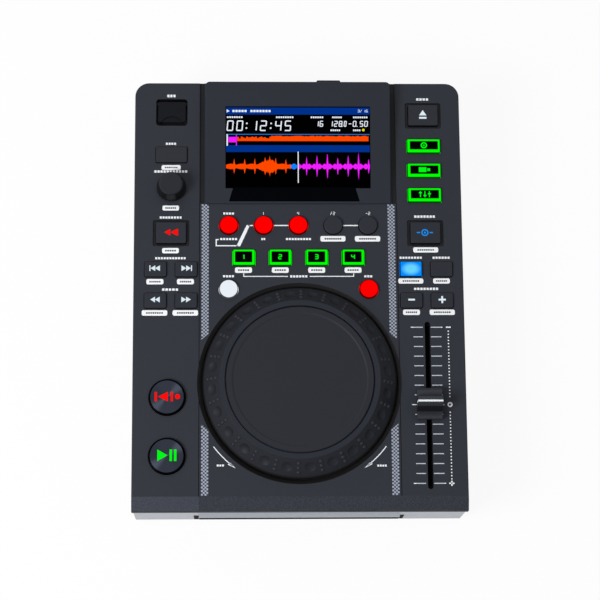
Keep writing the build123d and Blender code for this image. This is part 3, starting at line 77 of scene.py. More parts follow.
MM = 0.001
INK = 0.03  # thickness of print
CLOSE = 0.002  # points nearer than this are one
FAR = 200.0  # beyond every edge of the deck
BODY_Y = -2.8  # deck's middle in the frame
PLATE_Z = 57.0  # plate's height in the frame
JOG_Y = -61.3
COLUMN_X = 85.15  # middle of the key columns on both sides
FADER_Y = -76.35
CUE_Y = -71.2
PLAY_Y = -110.2
TRANSPORT_X = -87.1  # middle of the cue and play keys
HUMP_TILT = math.atan2(9.2, 82.9)
WINDOW_Y = 98.9
WINDOW_Z = 5.017  # hump's face over the plate, mid-screen
GLASS_SINK = 0.05
REAR_Y = 143.5
FASCIA_Y = -145.2
BROW_Y = -146.9


def deck_place(height: float = 0.0) -> Matrix:
    """Matrix from millimetres on the deck, at a height over the plate, to the frame."""
    return Matrix.Translation((0, BODY_Y * MM, (PLATE_Z + height) * MM)) @ Matrix.Scale(MM, 4)


def screen_place() -> Matrix:
    """Matrix from millimetres on the window's glass, from its middle, to the frame."""
    spot = Matrix.Translation((0, (BODY_Y + WINDOW_Y) * MM, (PLATE_Z + WINDOW_Z) * MM))
    return spot @ Matrix.Rotation(HUMP_TILT, 4, "X") @ Matrix.Scale(MM, 4)


def rear_place(out: float = 0.0) -> Matrix:
    """Matrix from millimetres on the rear panel, seen from the rear, to the frame."""
    turn = Matrix(((-1, 0, 0, 0), (0, 0, 1, 0), (0, 1, 0, 0), (0, 0, 0, 1)))
    return Matrix.Translation((0, (BODY_Y + REAR_Y + out) * MM, 0)) @ turn @ Matrix.Scale(MM, 4)


def front_place(y: float) -> Matrix:
    """Matrix from millimetres on an upright plane that faces the front to the frame."""
    turn = Matrix(((1, 0, 0, 0), (0, 0, -1, 0), (0, 1, 0, 0), (0, 0, 0, 1)))
    return Matrix.Translation((0, (BODY_Y + y) * MM, 0)) @ turn @ Matrix.Scale(MM, 4)


# ---------------------------------------------------------------- outlines


def circle(x: float, y: float, radius: float, count: int = 40) -> Outline:
    """Outline of a disc."""
    turns = (2 * math.pi * i / count for i in range(count))
    return [(x + radius * math.cos(a), y + radius * math.sin(a)) for a in turns]


def arc(x: float, y: float, radius: float, start: float, end: float, steps: int = 14) -> Outline:
    """Points along an arc, its bearings in degrees."""
    turns = (math.radians(start + (end - start) * i / steps) for i in range(steps + 1))
    return [(x + radius * math.cos(a), y + radius * math.sin(a)) for a in turns]


def box(x: float, y: float, width: float, height: float) -> Outline:
    """Outline of a rectangle round its middle."""
    w, h = width / 2, height / 2
    return [(x - w, y - h), (x + w, y - h), (x + w, y + h), (x - w, y + h)]


def rounded(x: float, y: float, width: float, height: float, radius: float) -> Outline:
    """Outline of a rectangle with rounded corners.

    Args:
        x: Middle from left to right.
        y: Middle from front to rear.
        width: Size from left to right.
        height: Size from front to rear.
        radius: Radius of the corners.

    Returns:
        The outline's points.
    """
    w = width / 2 - radius
    h = height / 2 - radius
    corners = ((w, h, 0), (-w, h, 90), (-w, -h, 180), (w, -h, 270))
    return [p for dx, dy, a in corners for p in arc(x + dx, y + dy, radius, a, a + 90, 4)]


def hoop(x: float, y: float, outer: float, inner: float) -> list[Outline]:
    """Outlines of the two halves of a ring."""
    halves = ((90, 270), (270, 450))
    return [arc(x, y, outer, start, end) + arc(x, y, inner, end, start) for start, end in halves]


def triangle(x: float, y: float, width: float, height: float) -> Outline:
    """Outline of a triangle that points to the right, or to the left for a width below zero."""
    return [(x - width / 2, y - height / 2), (x + width / 2, y), (x - width / 2, y + height / 2)]


def mirrored(outline: Outline) -> Outline:
    """The outline with left and right exchanged."""
    return [(-x, y) for x, y in outline]


MITRE_LIMIT = 0.4  # cosine below which a mitre grows no further


def ribbon(points: Outline, width: float) -> Outline:
    """Outline of a band of even width along points, mitred where it bends.

    Args:
        points: The band's middle line.
        width: The band's width.

    Returns:
        The right side and then the left side backwards.
    """
    left, right = [], []
    last = len(points) - 1
    for i, (x, y) in enumerate(points):
        after = (Vector(points[min(i + 1, last)]) - Vector(points[min(i, last - 1)])).normalized()
        before = (Vector(points[max(i, 1)]) - Vector(points[max(i - 1, 0)])).normalized()
        bisector = (before + after).normalized()
        reach = width / 2 / max(MITRE_LIMIT, bisector.dot(after))
        left.append((x - bisector.y * reach, y + bisector.x * reach))
        right.append((x + bisector.y * reach, y - bisector.x * reach))
    return right + left[::-1]


@dataclass(frozen=True)
class Dashes:
    """Short bars in a row, the plain mark that stands where a label would be.

    Args:
        pitch: Distance between bars as a share of the row's height.
        length: Length of a bar as a share of the distance.
        depth: Depth of a bar as a share of the row's height.
    """

    pitch: float = 0.82
    length: float = 0.74
    depth: float = 0.62

    def row(self, x: float, y: float, width: float, height: float) -> list[Outline]:
        """Makes one row.

        Args:
            x: Middle of the row from left to right.
            y: Middle of the row from front to rear.
            width: Length of the row.
            height: Height of the row.

        Returns:
            Outlines of the bars.
        """
        count = max(2, round(width / (self.pitch * height)))
        pitch = width / count
        first = x - width / 2 + pitch / 2
        return [box(first + i * pitch, y, pitch * self.length, height * self.depth) for i in range(count)]


DASHES = Dashes()

SEGMENTS = {
    "a": ((0, 1), (1, 1)),
    "b": ((1, 1), (1, 0.5)),
    "c": ((1, 0.5), (1, 0)),
    "d": ((0, 0), (1, 0)),
    "e": ((0, 0.5), (0, 0)),
    "f": ((0, 1), (0, 0.5)),
    "g": ((0, 0.5), (1, 0.5)),
}
LIT_SEGMENTS = {
    "0": "abcdef",
    "1": "bc",
    "2": "abged",
    "3": "abgcd",
    "4": "fgbc",
    "5": "afgcd",
    "6": "afgedc",
    "7": "abc",
    "8": "abcdefg",
    "9": "abcdfg",
    "-": "g",
}


@dataclass(frozen=True)
class Digits:
    """Seven-segment digits of one size.

    Args:
        size: Width and height of a digit.
        pitch: Distance from one digit to the next.
        lean: Slant to the right as a share of the height.
        weight: Thickness of a stroke as a share of the height.
        gap: What a stroke lacks at each end, as a share of its thickness.
        dots: Heights of a colon's dots as shares of the height.
        narrow: Share of the pitch that a colon or a point takes.
        stroke: Width of a slanted stroke as a share of a digit's.
    """

    size: Point
    pitch: float
    lean: float = 0.0
    weight: float = 0.15
    gap: float = 0.06
    dots: Point = (0.28, 0.72)
    narrow: float = 0.55
    stroke: float = 0.7

    def row(self, text: str, x: float, y: float) -> list[Outline]:
        """Makes a row of digits.

        Args:
            text: Digits, minus signs, colons, points and strokes; a space leaves a gap.
            x: Left end of the first digit.
            y: Foot of the digits.

        Returns:
            Outlines of the strokes.
        """
        shapes = []
        for char in text:
            shapes += self.sign(char, x, y)
            x += self.pitch * (self.narrow if char in ":." else 1.0)
        return shapes

    def sign(self, char: str, x: float, y: float) -> list[Outline]:
        """Makes one digit or sign.

        Args:
            char: The digit or sign.
            x: Its left end.
            y: Its foot.

        Returns:
            Outlines of its strokes.
        """
        width, height = self.size
        thick = self.weight * height
        if char == ":":
            return [box(x + self.lean * v * height, y + v * height, thick, thick) for v in self.dots]
        if char == ".":
            return [box(x, y + thick / 2, thick, thick)]
        if char == "/":
            return [ribbon([(x, y), (x + width * self.stroke, y + height)], thick)]
        shapes = []
        for key in LIT_SEGMENTS.get(char, ""):
            ends = []
            for u, v in SEGMENTS[key]:
                rise = thick / 2 + v * (height - thick)
                ends.append(Vector((x + thick / 2 + u * (width - thick) + self.lean * rise, y + rise)))
            trim = (ends[1] - ends[0]).normalized() * thick * self.gap
            shapes.append(ribbon([tuple(ends[0] + trim), tuple(ends[1] - trim)], thick))
        return shapes


# ---------------------------------------------------------------- nodes


class Graph:
    """Adds nodes to a node tree and links them."""

    def __init__(self, tree: Tree) -> None:
        """Keeps the tree that gets the nodes."""
        self.tree = tree

    def node(self, kind: str, values: dict | None = None, **settings: object) -> bpy.types.Node:
        """Adds one node.

        Args:
            kind: Type of the node.
            values: Input name or number to a value or to the socket that feeds it.
            settings: Properties of the node.

        Returns:
            The node.
        """
        made = self.tree.nodes.new(kind)
        for key, value in settings.items():
            setattr(made, key, value)
        for key, value in (values or {}).items():
            if isinstance(value, Socket):
                self.tree.links.new(value, made.inputs[key])
            else:
                made.inputs[key].default_value = value
        return made

    def group(self, tree: Tree, values: dict) -> bpy.types.bpy_prop_collection:
        """Outputs of a node group."""
        return self.node("ShaderNodeGroup", values, node_tree=tree).outputs

    def math(self, operation: str, first: Socket | float, second: Socket | float = 0.0) -> Socket:
        """Result of a math node."""
        return self.node("ShaderNodeMath", {0: first, 1: second}, operation=operation).outputs[0]

    def vector(self, operation: str, values: dict) -> bpy.types.bpy_prop_collection:
        """Outputs of a vector math node."""
        return self.node("ShaderNodeVectorMath", values, operation=operation).outputs

    def ramp(
        self,
        value: Socket,
        low: Socket | float,
        high: Socket | float,
        start: float = 0.0,
        end: float = 1.0,
    ) -> Socket:
        """Value mapped from low..high to start..end, held at both ends."""
        values = {"Value": value, "From Min": low, "From Max": high, "To Min": start, "To Max": end}
        return self.node("ShaderNodeMapRange", values).outputs["Result"]

    def blend(self, share: Socket | float, first: Socket | Rgba, second: Socket | Rgba) -> Socket:
        """Mix of two colours."""
        return self.node("ShaderNodeMix", {0: share, 6: first, 7: second}, data_type="RGBA").outputs[2]

    def window(self, value: Socket, low: float, high: float, soft: float = 0.05) -> Socket:
        """Mask that is 1 where value lies between two limits, all in millimetres."""
        values = {"Value": value, "Low": low * MM, "High": high * MM, "Soft": soft * MM}
        return self.group(window_group(), values)["Mask"]

    def axes(self, coords: Socket) -> list[Socket]:
        """The x, y and z of a place."""
        return list(self.node("ShaderNodeSeparateXYZ", {0: coords}).outputs)

    def upright(self) -> Socket:
        """How far the surface faces up, from -1 to 1."""
        return self.axes(self.node("ShaderNodeTexCoord").outputs["Normal"])[2]

    def reach(self, coords: Socket, x: float, y: float) -> Socket:
        """Level distance from an upright axis at a deck place.

        Args:
            coords: Place in the frame.
            x: The axis from left to right.
            y: The axis from front to rear.

        Returns:
            The distance in metres.
        """
        level = self.vector("MULTIPLY", {0: coords, 1: (1, 1, 0)})[0]
        axis = (x * MM, (y + BODY_Y) * MM, 0)
        return self.vector("DISTANCE", {0: level, 1: axis})["Value"]


def new_group(name: str, kind: str, inputs: dict[str, str], outputs: dict[str, str]) -> Tree:
    """Makes a node group with named sockets.

    Args:
        name: Name of the group.
        kind: Type of its tree.
        inputs: Name to type of each input.
        outputs: Name to type of each output.

    Returns:
        The group, with no nodes.
    """
    tree = bpy.data.node_groups.new(name, kind)
    for in_out, sockets in (("INPUT", inputs), ("OUTPUT", outputs)):
        for label, socket in sockets.items():
            tree.interface.new_socket(label, in_out=in_out, socket_type="NodeSocket" + socket)
    return tree


def window_group() -> Tree:
    """Group that makes a soft-edged mask from one value.

    Returns:
        The group, made at the first call.
    """
    name = "value_window"
    if name in bpy.data.node_groups:
        return bpy.data.node_groups[name]
    inputs = dict.fromkeys(("Value", "Low", "High", "Soft"), "Float")
    tree = new_group(name, "ShaderNodeTree", inputs, {"Mask": "Float"})
    graph = Graph(tree)
    given = graph.node("NodeGroupInput").outputs
    edges = []
    for limit, start, end in (("Low", 0.0, 1.0), ("High", 1.0, 0.0)):
        low = graph.math("SUBTRACT", given[limit], given["Soft"])
        high = graph.math("ADD", given[limit], given["Soft"])
        edges.append(graph.ramp(given["Value"], low, high, start, end))
    graph.node("NodeGroupOutput", {"Mask": graph.math("MULTIPLY", *edges)})
    return tree


@dataclass(frozen=True)
class Grain:
    """Sizes of the mottle that every moulded surface shares.

    Args:
        low: Noise value that counts as darkest.
        high: Noise value that counts as lightest.
        cloud: Share of the slow mottle beside the fine one.
        cloud_scale: Clouds of the slow mottle per metre.
        sheen: How far the slow mottle moves the roughness.
        strength: Strength of the bump.
    """

    low: float = 0.3
    high: float = 0.7
    cloud: float = 0.35
    cloud_scale: float = 18.0
    sheen: float = 0.12
    strength: float = 0.6

    def group(self) -> Tree:
        """Group for a moulded surface: a mottled colour, an uneven sheen and a fine bump.

        Returns:
            The group, made at the first call.
        """
        name = "surface_grain"
        if name in bpy.data.node_groups:
            return bpy.data.node_groups[name]
        inputs = {"Vector": "Vector", "Color": "Color"}
        inputs |= dict.fromkeys(("Rough", "Scale", "Amount", "Depth"), "Float")
        outputs = {"Color": "Color", "Rough": "Float", "Normal": "Vector"}
        tree = new_group(name, "ShaderNodeTree", inputs, outputs)
        graph = Graph(tree)
        given = graph.node("NodeGroupInput").outputs
        texture = {"Vector": given["Vector"], "Scale": given["Scale"], "Detail": 2.0}
        fine = graph.node("ShaderNodeTexNoise", texture).outputs[0]
        texture |= {"Scale": self.cloud_scale, "Detail": 3.0}
        broad = graph.node("ShaderNodeTexNoise", texture).outputs[0]
        swing = graph.ramp(fine, self.low, self.high, -1.0, 1.0)
        slow = graph.ramp(broad, self.low, self.high, -self.cloud, self.cloud)
        gain = graph.math("MULTIPLY", graph.math("ADD", swing, slow), given["Amount"])
        gain = graph.math("ADD", gain, 1.0)
        tone = graph.vector("SCALE", {0: given["Color"], "Scale": gain})[0]
        sheen = graph.math("ADD", given["Rough"], graph.math("MULTIPLY", slow, self.sheen))
        bump = {"Height": fine, "Distance": given["Depth"], "Strength": self.strength}
        normal = graph.node("ShaderNodeBump", bump).outputs[0]
        graph.node("NodeGroupOutput", {"Color": tone, "Rough": sheen, "Normal": normal})
        return tree


def bake(tree: Tree, values: dict, name: str) -> Mesh:
    """Runs a geometry node tree once.

    Args:
        tree: The tree.
        values: Name to value of each of its inputs.
        name: Name of the mesh.

    Returns:
        The mesh that the tree makes.
    """
    holder = bpy.data.objects.new(name, bpy.data.meshes.new(name))
    bpy.context.scene.collection.objects.link(holder)
    modifier = holder.modifiers.new(name, "NODES")
    modifier.node_group = tree
    for item in tree.interface.items_tree:
        if item.in_out == "INPUT":
            modifier[item.identifier] = values[item.name]
    holder.update_tag()
    bpy.context.view_layer.update()
    seen = holder.evaluated_get(bpy.context.evaluated_depsgraph_get())
    mesh = bpy.data.meshes.new_from_object(seen)
    bpy.data.objects.remove(holder)
    mesh.name = name
    return mesh


def repeat(graph: Graph, points: Socket, item: dict, material: Socket, middle: Socket | Spot) -> None:
    """Ends a geometry tree: copies of an item on points, as one plain mesh.

    Args:
        graph: The tree.
        points: Where the copies go.
        item: The item, and its turn where it has one, by input name.
        material: Material of the copies.
        middle: What everything is moved by.
    """
    many = graph.node("GeometryNodeInstanceOnPoints", {"Points": points} | item).outputs[0]
    moved = {"Geometry": many, "Translation": middle}
    moved = graph.node("GeometryNodeTransform", moved).outputs[0]
    solid = graph.node("GeometryNodeRealizeInstances", {"Geometry": moved}).outputs[0]
    dressed = {"Geometry": solid, "Material": material}
    dressed = graph.node("GeometryNodeSetMaterial", dressed).outputs[0]
    graph.node("NodeGroupOutput", {"Geometry": dressed})


def lattice_tree() -> Tree:
    """Tree for a grid of flat cells, every other one left out where Checker is 1.

    Returns:
        The tree, made at the first call.
    """
    name = "cell_lattice"
    if name in bpy.data.node_groups:
        return bpy.data.node_groups[name]
    inputs = {"Columns": "Int", "Rows": "Int", "Pitch X": "Float", "Pitch Y": "Float"}
    inputs |= {"Cell": "Vector", "Middle": "Vector", "Checker": "Float", "Material": "Material"}
    tree = new_group(name, "GeometryNodeTree", inputs, {"Geometry": "Geometry"})
    graph = Graph(tree)
    given = graph.node("NodeGroupInput").outputs
    place = graph.axes(graph.node("GeometryNodeInputPosition").outputs[0])
    sizes, steps = [], []
    for count, pitch, along in (("Columns", "Pitch X", place[0]), ("Rows", "Pitch Y", place[1])):
        gaps = graph.math("SUBTRACT", given[count], 1.0)
        sizes.append(graph.math("MULTIPLY", gaps, given[pitch]))
        step = graph.math("ADD", graph.math("DIVIDE", along, given[pitch]), graph.math("DIVIDE", gaps, 2.0))
        steps.append(graph.math("ROUND", step))
    grid = {"Size X": sizes[0], "Size Y": sizes[1]}
    grid |= {"Vertices X": given["Columns"], "Vertices Y": given["Rows"]}
    points = graph.node("GeometryNodeMeshGrid", grid).outputs["Mesh"]
    odd = graph.math("MODULO", graph.math("ADD", *steps), 2.0)
    dropped = {"Geometry": points, "Selection": graph.math("MULTIPLY", odd, given["Checker"])}
    kept = graph.node("GeometryNodeDeleteGeometry", dropped, domain="POINT").outputs[0]
    cell = graph.node("GeometryNodeMeshCube", {"Size": given["Cell"]}).outputs["Mesh"]
    repeat(graph, kept, {"Instance": cell}, given["Material"], given["Middle"])
    return tree


def wheel_tree() -> Tree:
    """Tree that sets copies of an item round an upright axis.

    Returns:
        The tree.
    """
    inputs = {"Item": "Object", "Count": "Int", "Start": "Float", "Middle": "Vector", "Material": "Material"}
    tree = new_group("item_wheel", "GeometryNodeTree", inputs, {"Geometry": "Geometry"})
    graph = Graph(tree)
    given = graph.node("NodeGroupInput").outputs
    spots = {"Count": given["Count"], "Offset": (0, 0, 0)}
    points = graph.node("GeometryNodeMeshLine", spots, mode="OFFSET").outputs[0]
    step = graph.math("DIVIDE", 2 * math.pi, given["Count"])
    turn = graph.math("MULTIPLY", graph.node("GeometryNodeInputIndex").outputs[0], step)
    spin = {"Z": graph.math("ADD", turn, given["Start"])}
    spin = graph.node("ShaderNodeCombineXYZ", spin).outputs[0]
    copy = graph.node("GeometryNodeObjectInfo", {"Object": given["Item"]}).outputs["Geometry"]
    repeat(graph, points, {"Instance": copy, "Rotation": spin}, given["Material"], given["Middle"])
    return tree


# ---------------------------------------------------------------- finishes


class Paint(Enum):
    """What a finish adds to its plain colour. Each value names a method of the painter."""

    PLAIN = "plain"
    COVER = "cover"
    WHEEL = "wheel"
    FADER = "fader"
    SPUN = "spun"
    LAMP = "lamp"
    CAP = "cap"
    KEY = "key"
    KNOB = "knob"


@dataclass(frozen=True)
class Finish:
    """How one material looks.

    Args:
        tone: Colour as 0 to 255 sRGB values.
        rough: Roughness.
        metal: Share of metal.
        shine: Specular level of a plastic.
        grain: Share by which the grain lightens and darkens the colour.
        scale: Grains per metre.
        depth: Height of the grain's bump in metres.
        glow: Light given off, where 1 shows the colour as written.
        paint: What is added to the plain colour.
    """

    tone: Tone
    rough: float = 0.5
    metal: float = 0.0
    shine: float = 0.2
    grain: float = 0.0
    scale: float = 1500.0
    depth: float = 0.0
    glow: float = 0.0
    paint: Paint = Paint.PLAIN


def linear(tone: Tone) -> Rgba:
    """Linear colour for an sRGB one."""
    parts = (c / 255 for c in tone)
    return (*(p / 12.92 if p <= 0.04045 else ((p + 0.055) / 1.055) ** 2.4 for p in parts), 1.0)


def lit(tone: Tone, paint: Paint = Paint.PLAIN) -> Finish:
    """Finish of a lit surface."""
    return Finish(tone, rough=0.6, shine=0.0, glow=1.0, paint=paint)


FINISHES = {
    # finishes of the CAD parts, by their material slots
    "cover_plastic": Finish((39, 42, 50), 0.62, grain=0.09, scale=2600, depth=4e-5, paint=Paint.COVER),
    "hump_plastic": Finish((31, 35, 44), 0.6, grain=0.05, scale=2600, depth=3e-5),
    "screen_glass": Finish((3, 4, 7), 0.12, shine=0.01),
    "screen_module": Finish((14, 14, 15), 0.5),
    "tray_steel": Finish((30, 31, 33), 0.5, grain=0.1, scale=1800, depth=5e-5),
    "fascia_silver": Finish((160, 165, 175), 0.36, metal=0.25, shine=0.4, grain=0.03, scale=3000),
    "felt": Finish((12, 12, 13), 0.95, grain=0.4, scale=3500, depth=2e-4),
    "panel_steel": Finish((32, 33, 36), 0.5, grain=0.08, scale=1800, depth=5e-5),
    "socket_plastic": Finish((22, 22, 24), 0.45),
    "bright_steel": Finish((190, 190, 192), 0.3, metal=1.0, grain=0.04, scale=900),
    "bronze": Finish((176, 132, 78), 0.4, metal=1.0, grain=0.15, scale=2500, depth=6e-5),
    "board": Finish((16, 74, 42), 0.35, shine=0.5, grain=0.06, scale=300),
    "wheel_rubber": Finish((29, 32, 41), 0.6, grain=0.05, scale=2400, depth=3e-5, paint=Paint.WHEEL),
    "wheel_plate": Finish((30, 31, 39), 0.6, grain=0.06, scale=2200, depth=3e-5),
    "key_dark": Finish((32, 35, 43), 0.5, grain=0.04, scale=2400, depth=2e-5, paint=Paint.KEY),
    "key_red": lit((255, 0, 0), Paint.CAP),
    "key_green": lit((0, 255, 0), Paint.CAP),
    "key_blue": lit((0, 140, 255), Paint.LAMP),
    "key_white": lit((233, 239, 246), Paint.CAP),
    "key_metal": Finish((49, 53, 63), 0.37, metal=1.0, paint=Paint.SPUN),
    "knob_plastic": Finish(
        (21, 23, 31), 0.4, shine=0.22, grain=0.04, scale=2400, depth=2e-5, paint=Paint.KNOB
    ),
    "fader_plastic": Finish((39, 42, 50), 0.42, shine=0.3, grain=0.03, scale=2400, paint=Paint.FADER),
    "rubber": Finish((20, 20, 21), 0.85, grain=0.15, scale=2200, depth=5e-5),
    "screw_zinc": Finish((70, 70, 74), 0.35, metal=1.0),
    "drive_sheet": Finish((150, 152, 156), 0.38, metal=1.0, grain=0.08, scale=60),
    # finishes of single parts, and of the trim round the disc slot, whose end blocks are painted shade
    "slot_black": Finish((6, 6, 8), 0.7, shine=0.05),
    "lid_dark": Finish((9, 11, 17), 0.55, shine=0.1, grain=0.04, scale=2400, depth=2e-5),
    "bump_rubber": Finish((27, 30, 38), 0.5, shine=0.24),
    # print, legends and the picture
    "ink_white": Finish((244, 249, 254), 0.6),
    "ink_grey": Finish((196, 203, 212), 0.6),
    "pill_white": Finish((250, 252, 255), 0.6),
    "pill_mark": Finish((30, 34, 44), 0.6),
    "hatch_dark": Finish((60, 65, 78), 0.6),
    "hatch_light": Finish((167, 174, 189), 0.6),
    "lit_panel": Finish((4, 5, 5), 0.4, shine=0.0),
    "lit_red": lit((255, 14, 10)),
    "lit_green": lit((0, 250, 20)),
    "lit_blue": lit((26, 140, 235)),
    "lit_white": lit((222, 236, 244)),
    "picture_black": lit((1, 1, 2)),
    "picture_navy": lit((0, 49, 138)),
    "picture_white": lit((236, 242, 250)),
    "picture_orange": lit((255, 72, 0)),
    "picture_magenta": lit((240, 30, 255)),
    "picture_sky": lit((40, 120, 205)),
    "picture_yellow": lit((235, 225, 30)),
    "picture_azure": lit((20, 128, 255)),
    "jack_white": Finish((225, 225, 222), 0.4),
    "jack_red": Finish((190, 26, 26), 0.4),
}

# edges of the painted areas in the frame, and two radii
BEVEL_Y = -136.6 + BODY_Y
FRONT_Y = -145.7 + BODY_Y
RECESS_X = 108.0
RECESS_Y = (BEVEL_Y + 0.4, 143.0 + BODY_Y)
RECESS_Z = PLATE_Z - 0.3
GROOVE_X = (62.9, 66.3)
HUMP_Y = 60.9 + BODY_Y
SEAM_X = 66.2
SHADED_WELL_R = 67.45
SHADED_RIM_Z = PLATE_Z + 2.3
BAND_Z = PLATE_Z + 12.8
KNOB_EDGE = PLATE_Z + 10.6
HOLLOW_Y = (FADER_Y + BODY_Y - 5.6, FADER_Y + BODY_Y - 1.0)
KEY_FACE_R = 10.9
# where the edges fade: over a width in millimetres, or as the surface turns to face up
FRONT_SOFT = 0.15
HOLLOW_SOFT = 0.25
CAP_EDGE = (0.86, 0.98)
KEY_EDGE = (0.3, 0.6)
# tones of the painted areas; the front, recess, groove, hollow and key side tones are painted shade, as is
# the deep black in the jog wheel's well and on its lower rim
BLACK = (0.0, 0.0, 0.0, 1.0)
DEEP_BLACK = (5, 5, 6)
FRONT_SHADE_TONE = (17, 19, 24)
RECESS_SHADE_TONE = (15, 16, 20)
GROOVE_SHADE_TONE = (14, 15, 18)
HOLLOW_SHADE_TONE = (13, 14, 18)
KEY_SIDE_SHADE_TONE = (7, 8, 10)
KNOB_FLANK_TONE = (9, 10, 12)
BAND_SHARE = 0.62
CAP_FLANK_SHARE = 0.06
# flecks of the front bevel, whose gain also lightens the bevel as a painted highlight, the most on its left
# end
FLECKS = 1500.0
FLECK_BAND = (0.35, 0.65)
FLECK_AND_HIGHLIGHT_GAIN = (0.75, 1.6)
LEFT_HIGHLIGHT_GAIN = 0.7
# key that is lit from below: its middle, its half sizes, and the pale glow in it
LAMP_KEY = (COLUMN_X - 10.2, 15.4)
LAMP_HALF = (6.9, 4.8)
LAMP_FADE = (0.45, 1.0)
LAMP_TONE = (104, 212, 252)
SPUN_STREAK = 0.95  # anisotropy of the spun faces


class Painter:
    """Adds to a plain colour what a finish's paint says, painted shade and a painted highlight among it,
    each paint in the method of its name.
    """

    def __init__(self, graph: Graph, coords: Socket) -> None:
        """Keeps the material's tree and the place in the frame."""
        self.graph = graph
        self.coords = coords

    def apply(self, kind: Paint, color: Socket | Rgba) -> Socket | Rgba:
        """The painted colour."""
        return getattr(self, kind.value)(color)

    def plain(self, color: Socket | Rgba) -> Socket | Rgba:
        """Adds nothing."""
        return color

    def cover(self, color: Socket) -> Socket:
        """Adds a flecked front bevel that a painted highlight lightens, most on its left end, dark painted
        shade on the front face, in the recesses and in the grooves, and black painted shade in the well.

        Args:
            color: The plain colour.

        Returns:
            The painted colour.
        """
        graph = self.graph
        x, y, z = graph.axes(self.coords)
        side = graph.math("ABSOLUTE", x)
        texture = {"Vector": self.coords, "Scale": FLECKS, "Detail": 1.0}
        gain = graph.ramp(graph.node("ShaderNodeTexNoise", texture).outputs[0], *FLECK_BAND, *FLECK_AND_HIGHLIGHT_GAIN)
        # painted highlight: the bevel is lightened further on the left of the seam
        left = graph.window(x, -FAR, -SEAM_X)
        gain = graph.math("ADD", gain, graph.math("MULTIPLY", left, LEFT_HIGHLIGHT_GAIN))
        flecks_and_highlight = graph.vector("SCALE", {0: color, "Scale": gain})[0]
        color = graph.blend(graph.window(y, -FAR, BEVEL_Y), color, flecks_and_highlight)
        # painted shade on the cover's front face
        color = graph.blend(graph.window(y, -FAR, FRONT_Y, FRONT_SOFT), color, linear(FRONT_SHADE_TONE))
        # painted shade in the cover's recesses, such as round the keys
        inside = graph.math("MULTIPLY", graph.window(side, -FAR, RECESS_X), graph.window(y, *RECESS_Y))
        recess_shade = graph.math("MULTIPLY", inside, graph.window(z, -FAR, RECESS_Z))
        color = graph.blend(recess_shade, color, linear(RECESS_SHADE_TONE))
        # painted shade in the grooves beside the display's hump
        groove_shade = graph.math("MULTIPLY", graph.window(side, *GROOVE_X), graph.window(y, HUMP_Y, FAR))
        color = graph.blend(groove_shade, color, linear(GROOVE_SHADE_TONE))
        # painted shade: the jog wheel's well is black
        well_shade = graph.window(graph.reach(self.coords, 0, JOG_Y), -FAR, SHADED_WELL_R)
        return graph.blend(well_shade, color, linear(DEEP_BLACK))

    def wheel(self, color: Socket) -> Socket:
        """Adds a darker sloping band, and black painted shade on the lower rim, which sits down in the well.

        Args:
            color: The plain colour.

        Returns:
            The painted colour.
        """
        z = self.graph.axes(self.coords)[2]
        dim = self.graph.blend(BAND_SHARE, BLACK, color)
        color = self.graph.blend(self.graph.window(z, -FAR, BAND_Z), color, dim)
        # painted shade: the wheel's rim below the plate, down in the well, is black
        return self.graph.blend(self.graph.window(z, -FAR, SHADED_RIM_Z), color, linear(DEEP_BLACK))

    def fader(self, color: Socket) -> Socket:
        """Adds a dark painted shade in the hollow in front of the cap's ridge."""
        # painted shade in the hollow in front of the ridge
        hollow_shade = self.graph.window(self.graph.axes(self.coords)[1], *HOLLOW_Y, HOLLOW_SOFT)
        return self.graph.blend(hollow_shade, color, linear(HOLLOW_SHADE_TONE))

    def spun(self, color: Rgba) -> Socket:
        """Adds a black collar round the two transport keys' metal faces.

        Args:
            color: The plain colour.

        Returns:
            The painted colour.
        """
        gaps = [self.graph.reach(self.coords, TRANSPORT_X, y) for y in (CUE_Y, PLAY_Y)]
        collar = self.graph.window(self.graph.math("MINIMUM", *gaps), KEY_FACE_R, FAR)
        return self.graph.blend(collar, color, linear(DEEP_BLACK))

    def cap(self, color: Socket | Rgba) -> Socket:
        """Dims the sides of a key whose top lets the light through."""
        dim = self.graph.blend(CAP_FLANK_SHARE, BLACK, color)
        return self.graph.blend(self.graph.ramp(self.graph.upright(), *CAP_EDGE), dim, color)

    def key(self, color: Socket) -> Socket:
        """Adds black painted shade to the sides of a plain key."""
        # painted shade: the key's sides turn black as they turn away from facing up
        top = self.graph.ramp(self.graph.upright(), *KEY_EDGE)
        return self.graph.blend(top, linear(KEY_SIDE_SHADE_TONE), color)

    def knob(self, color: Socket) -> Socket:
        """Adds a black flank under a knob's top."""
        flank = self.graph.window(self.graph.axes(self.coords)[2], -FAR, KNOB_EDGE)
        return self.graph.blend(flank, color, linear(KNOB_FLANK_TONE))

    def lamp(self, color: Rgba) -> Socket:
        """Adds a paler middle and dim sides to a key that is lit from below.

        Args:
            color: The plain colour.

        Returns:
            The painted colour.
        """
        x, y = LAMP_KEY
        half_x, half_y = LAMP_HALF
        middle = (x * MM, (y + BODY_Y) * MM, 0)
        offset = self.graph.vector("SUBTRACT", {0: self.coords, 1: middle})[0]
        shares = (1 / (half_x * MM), 1 / (half_y * MM), 0)
        scaled = self.graph.vector("MULTIPLY", {0: offset, 1: shares})[0]
        reach = self.graph.vector("LENGTH", {0: scaled})["Value"]
        pale = self.graph.ramp(reach, *LAMP_FADE, 1.0, 0.0)
        return self.cap(self.graph.blend(pale, color, linear(LAMP_TONE)))

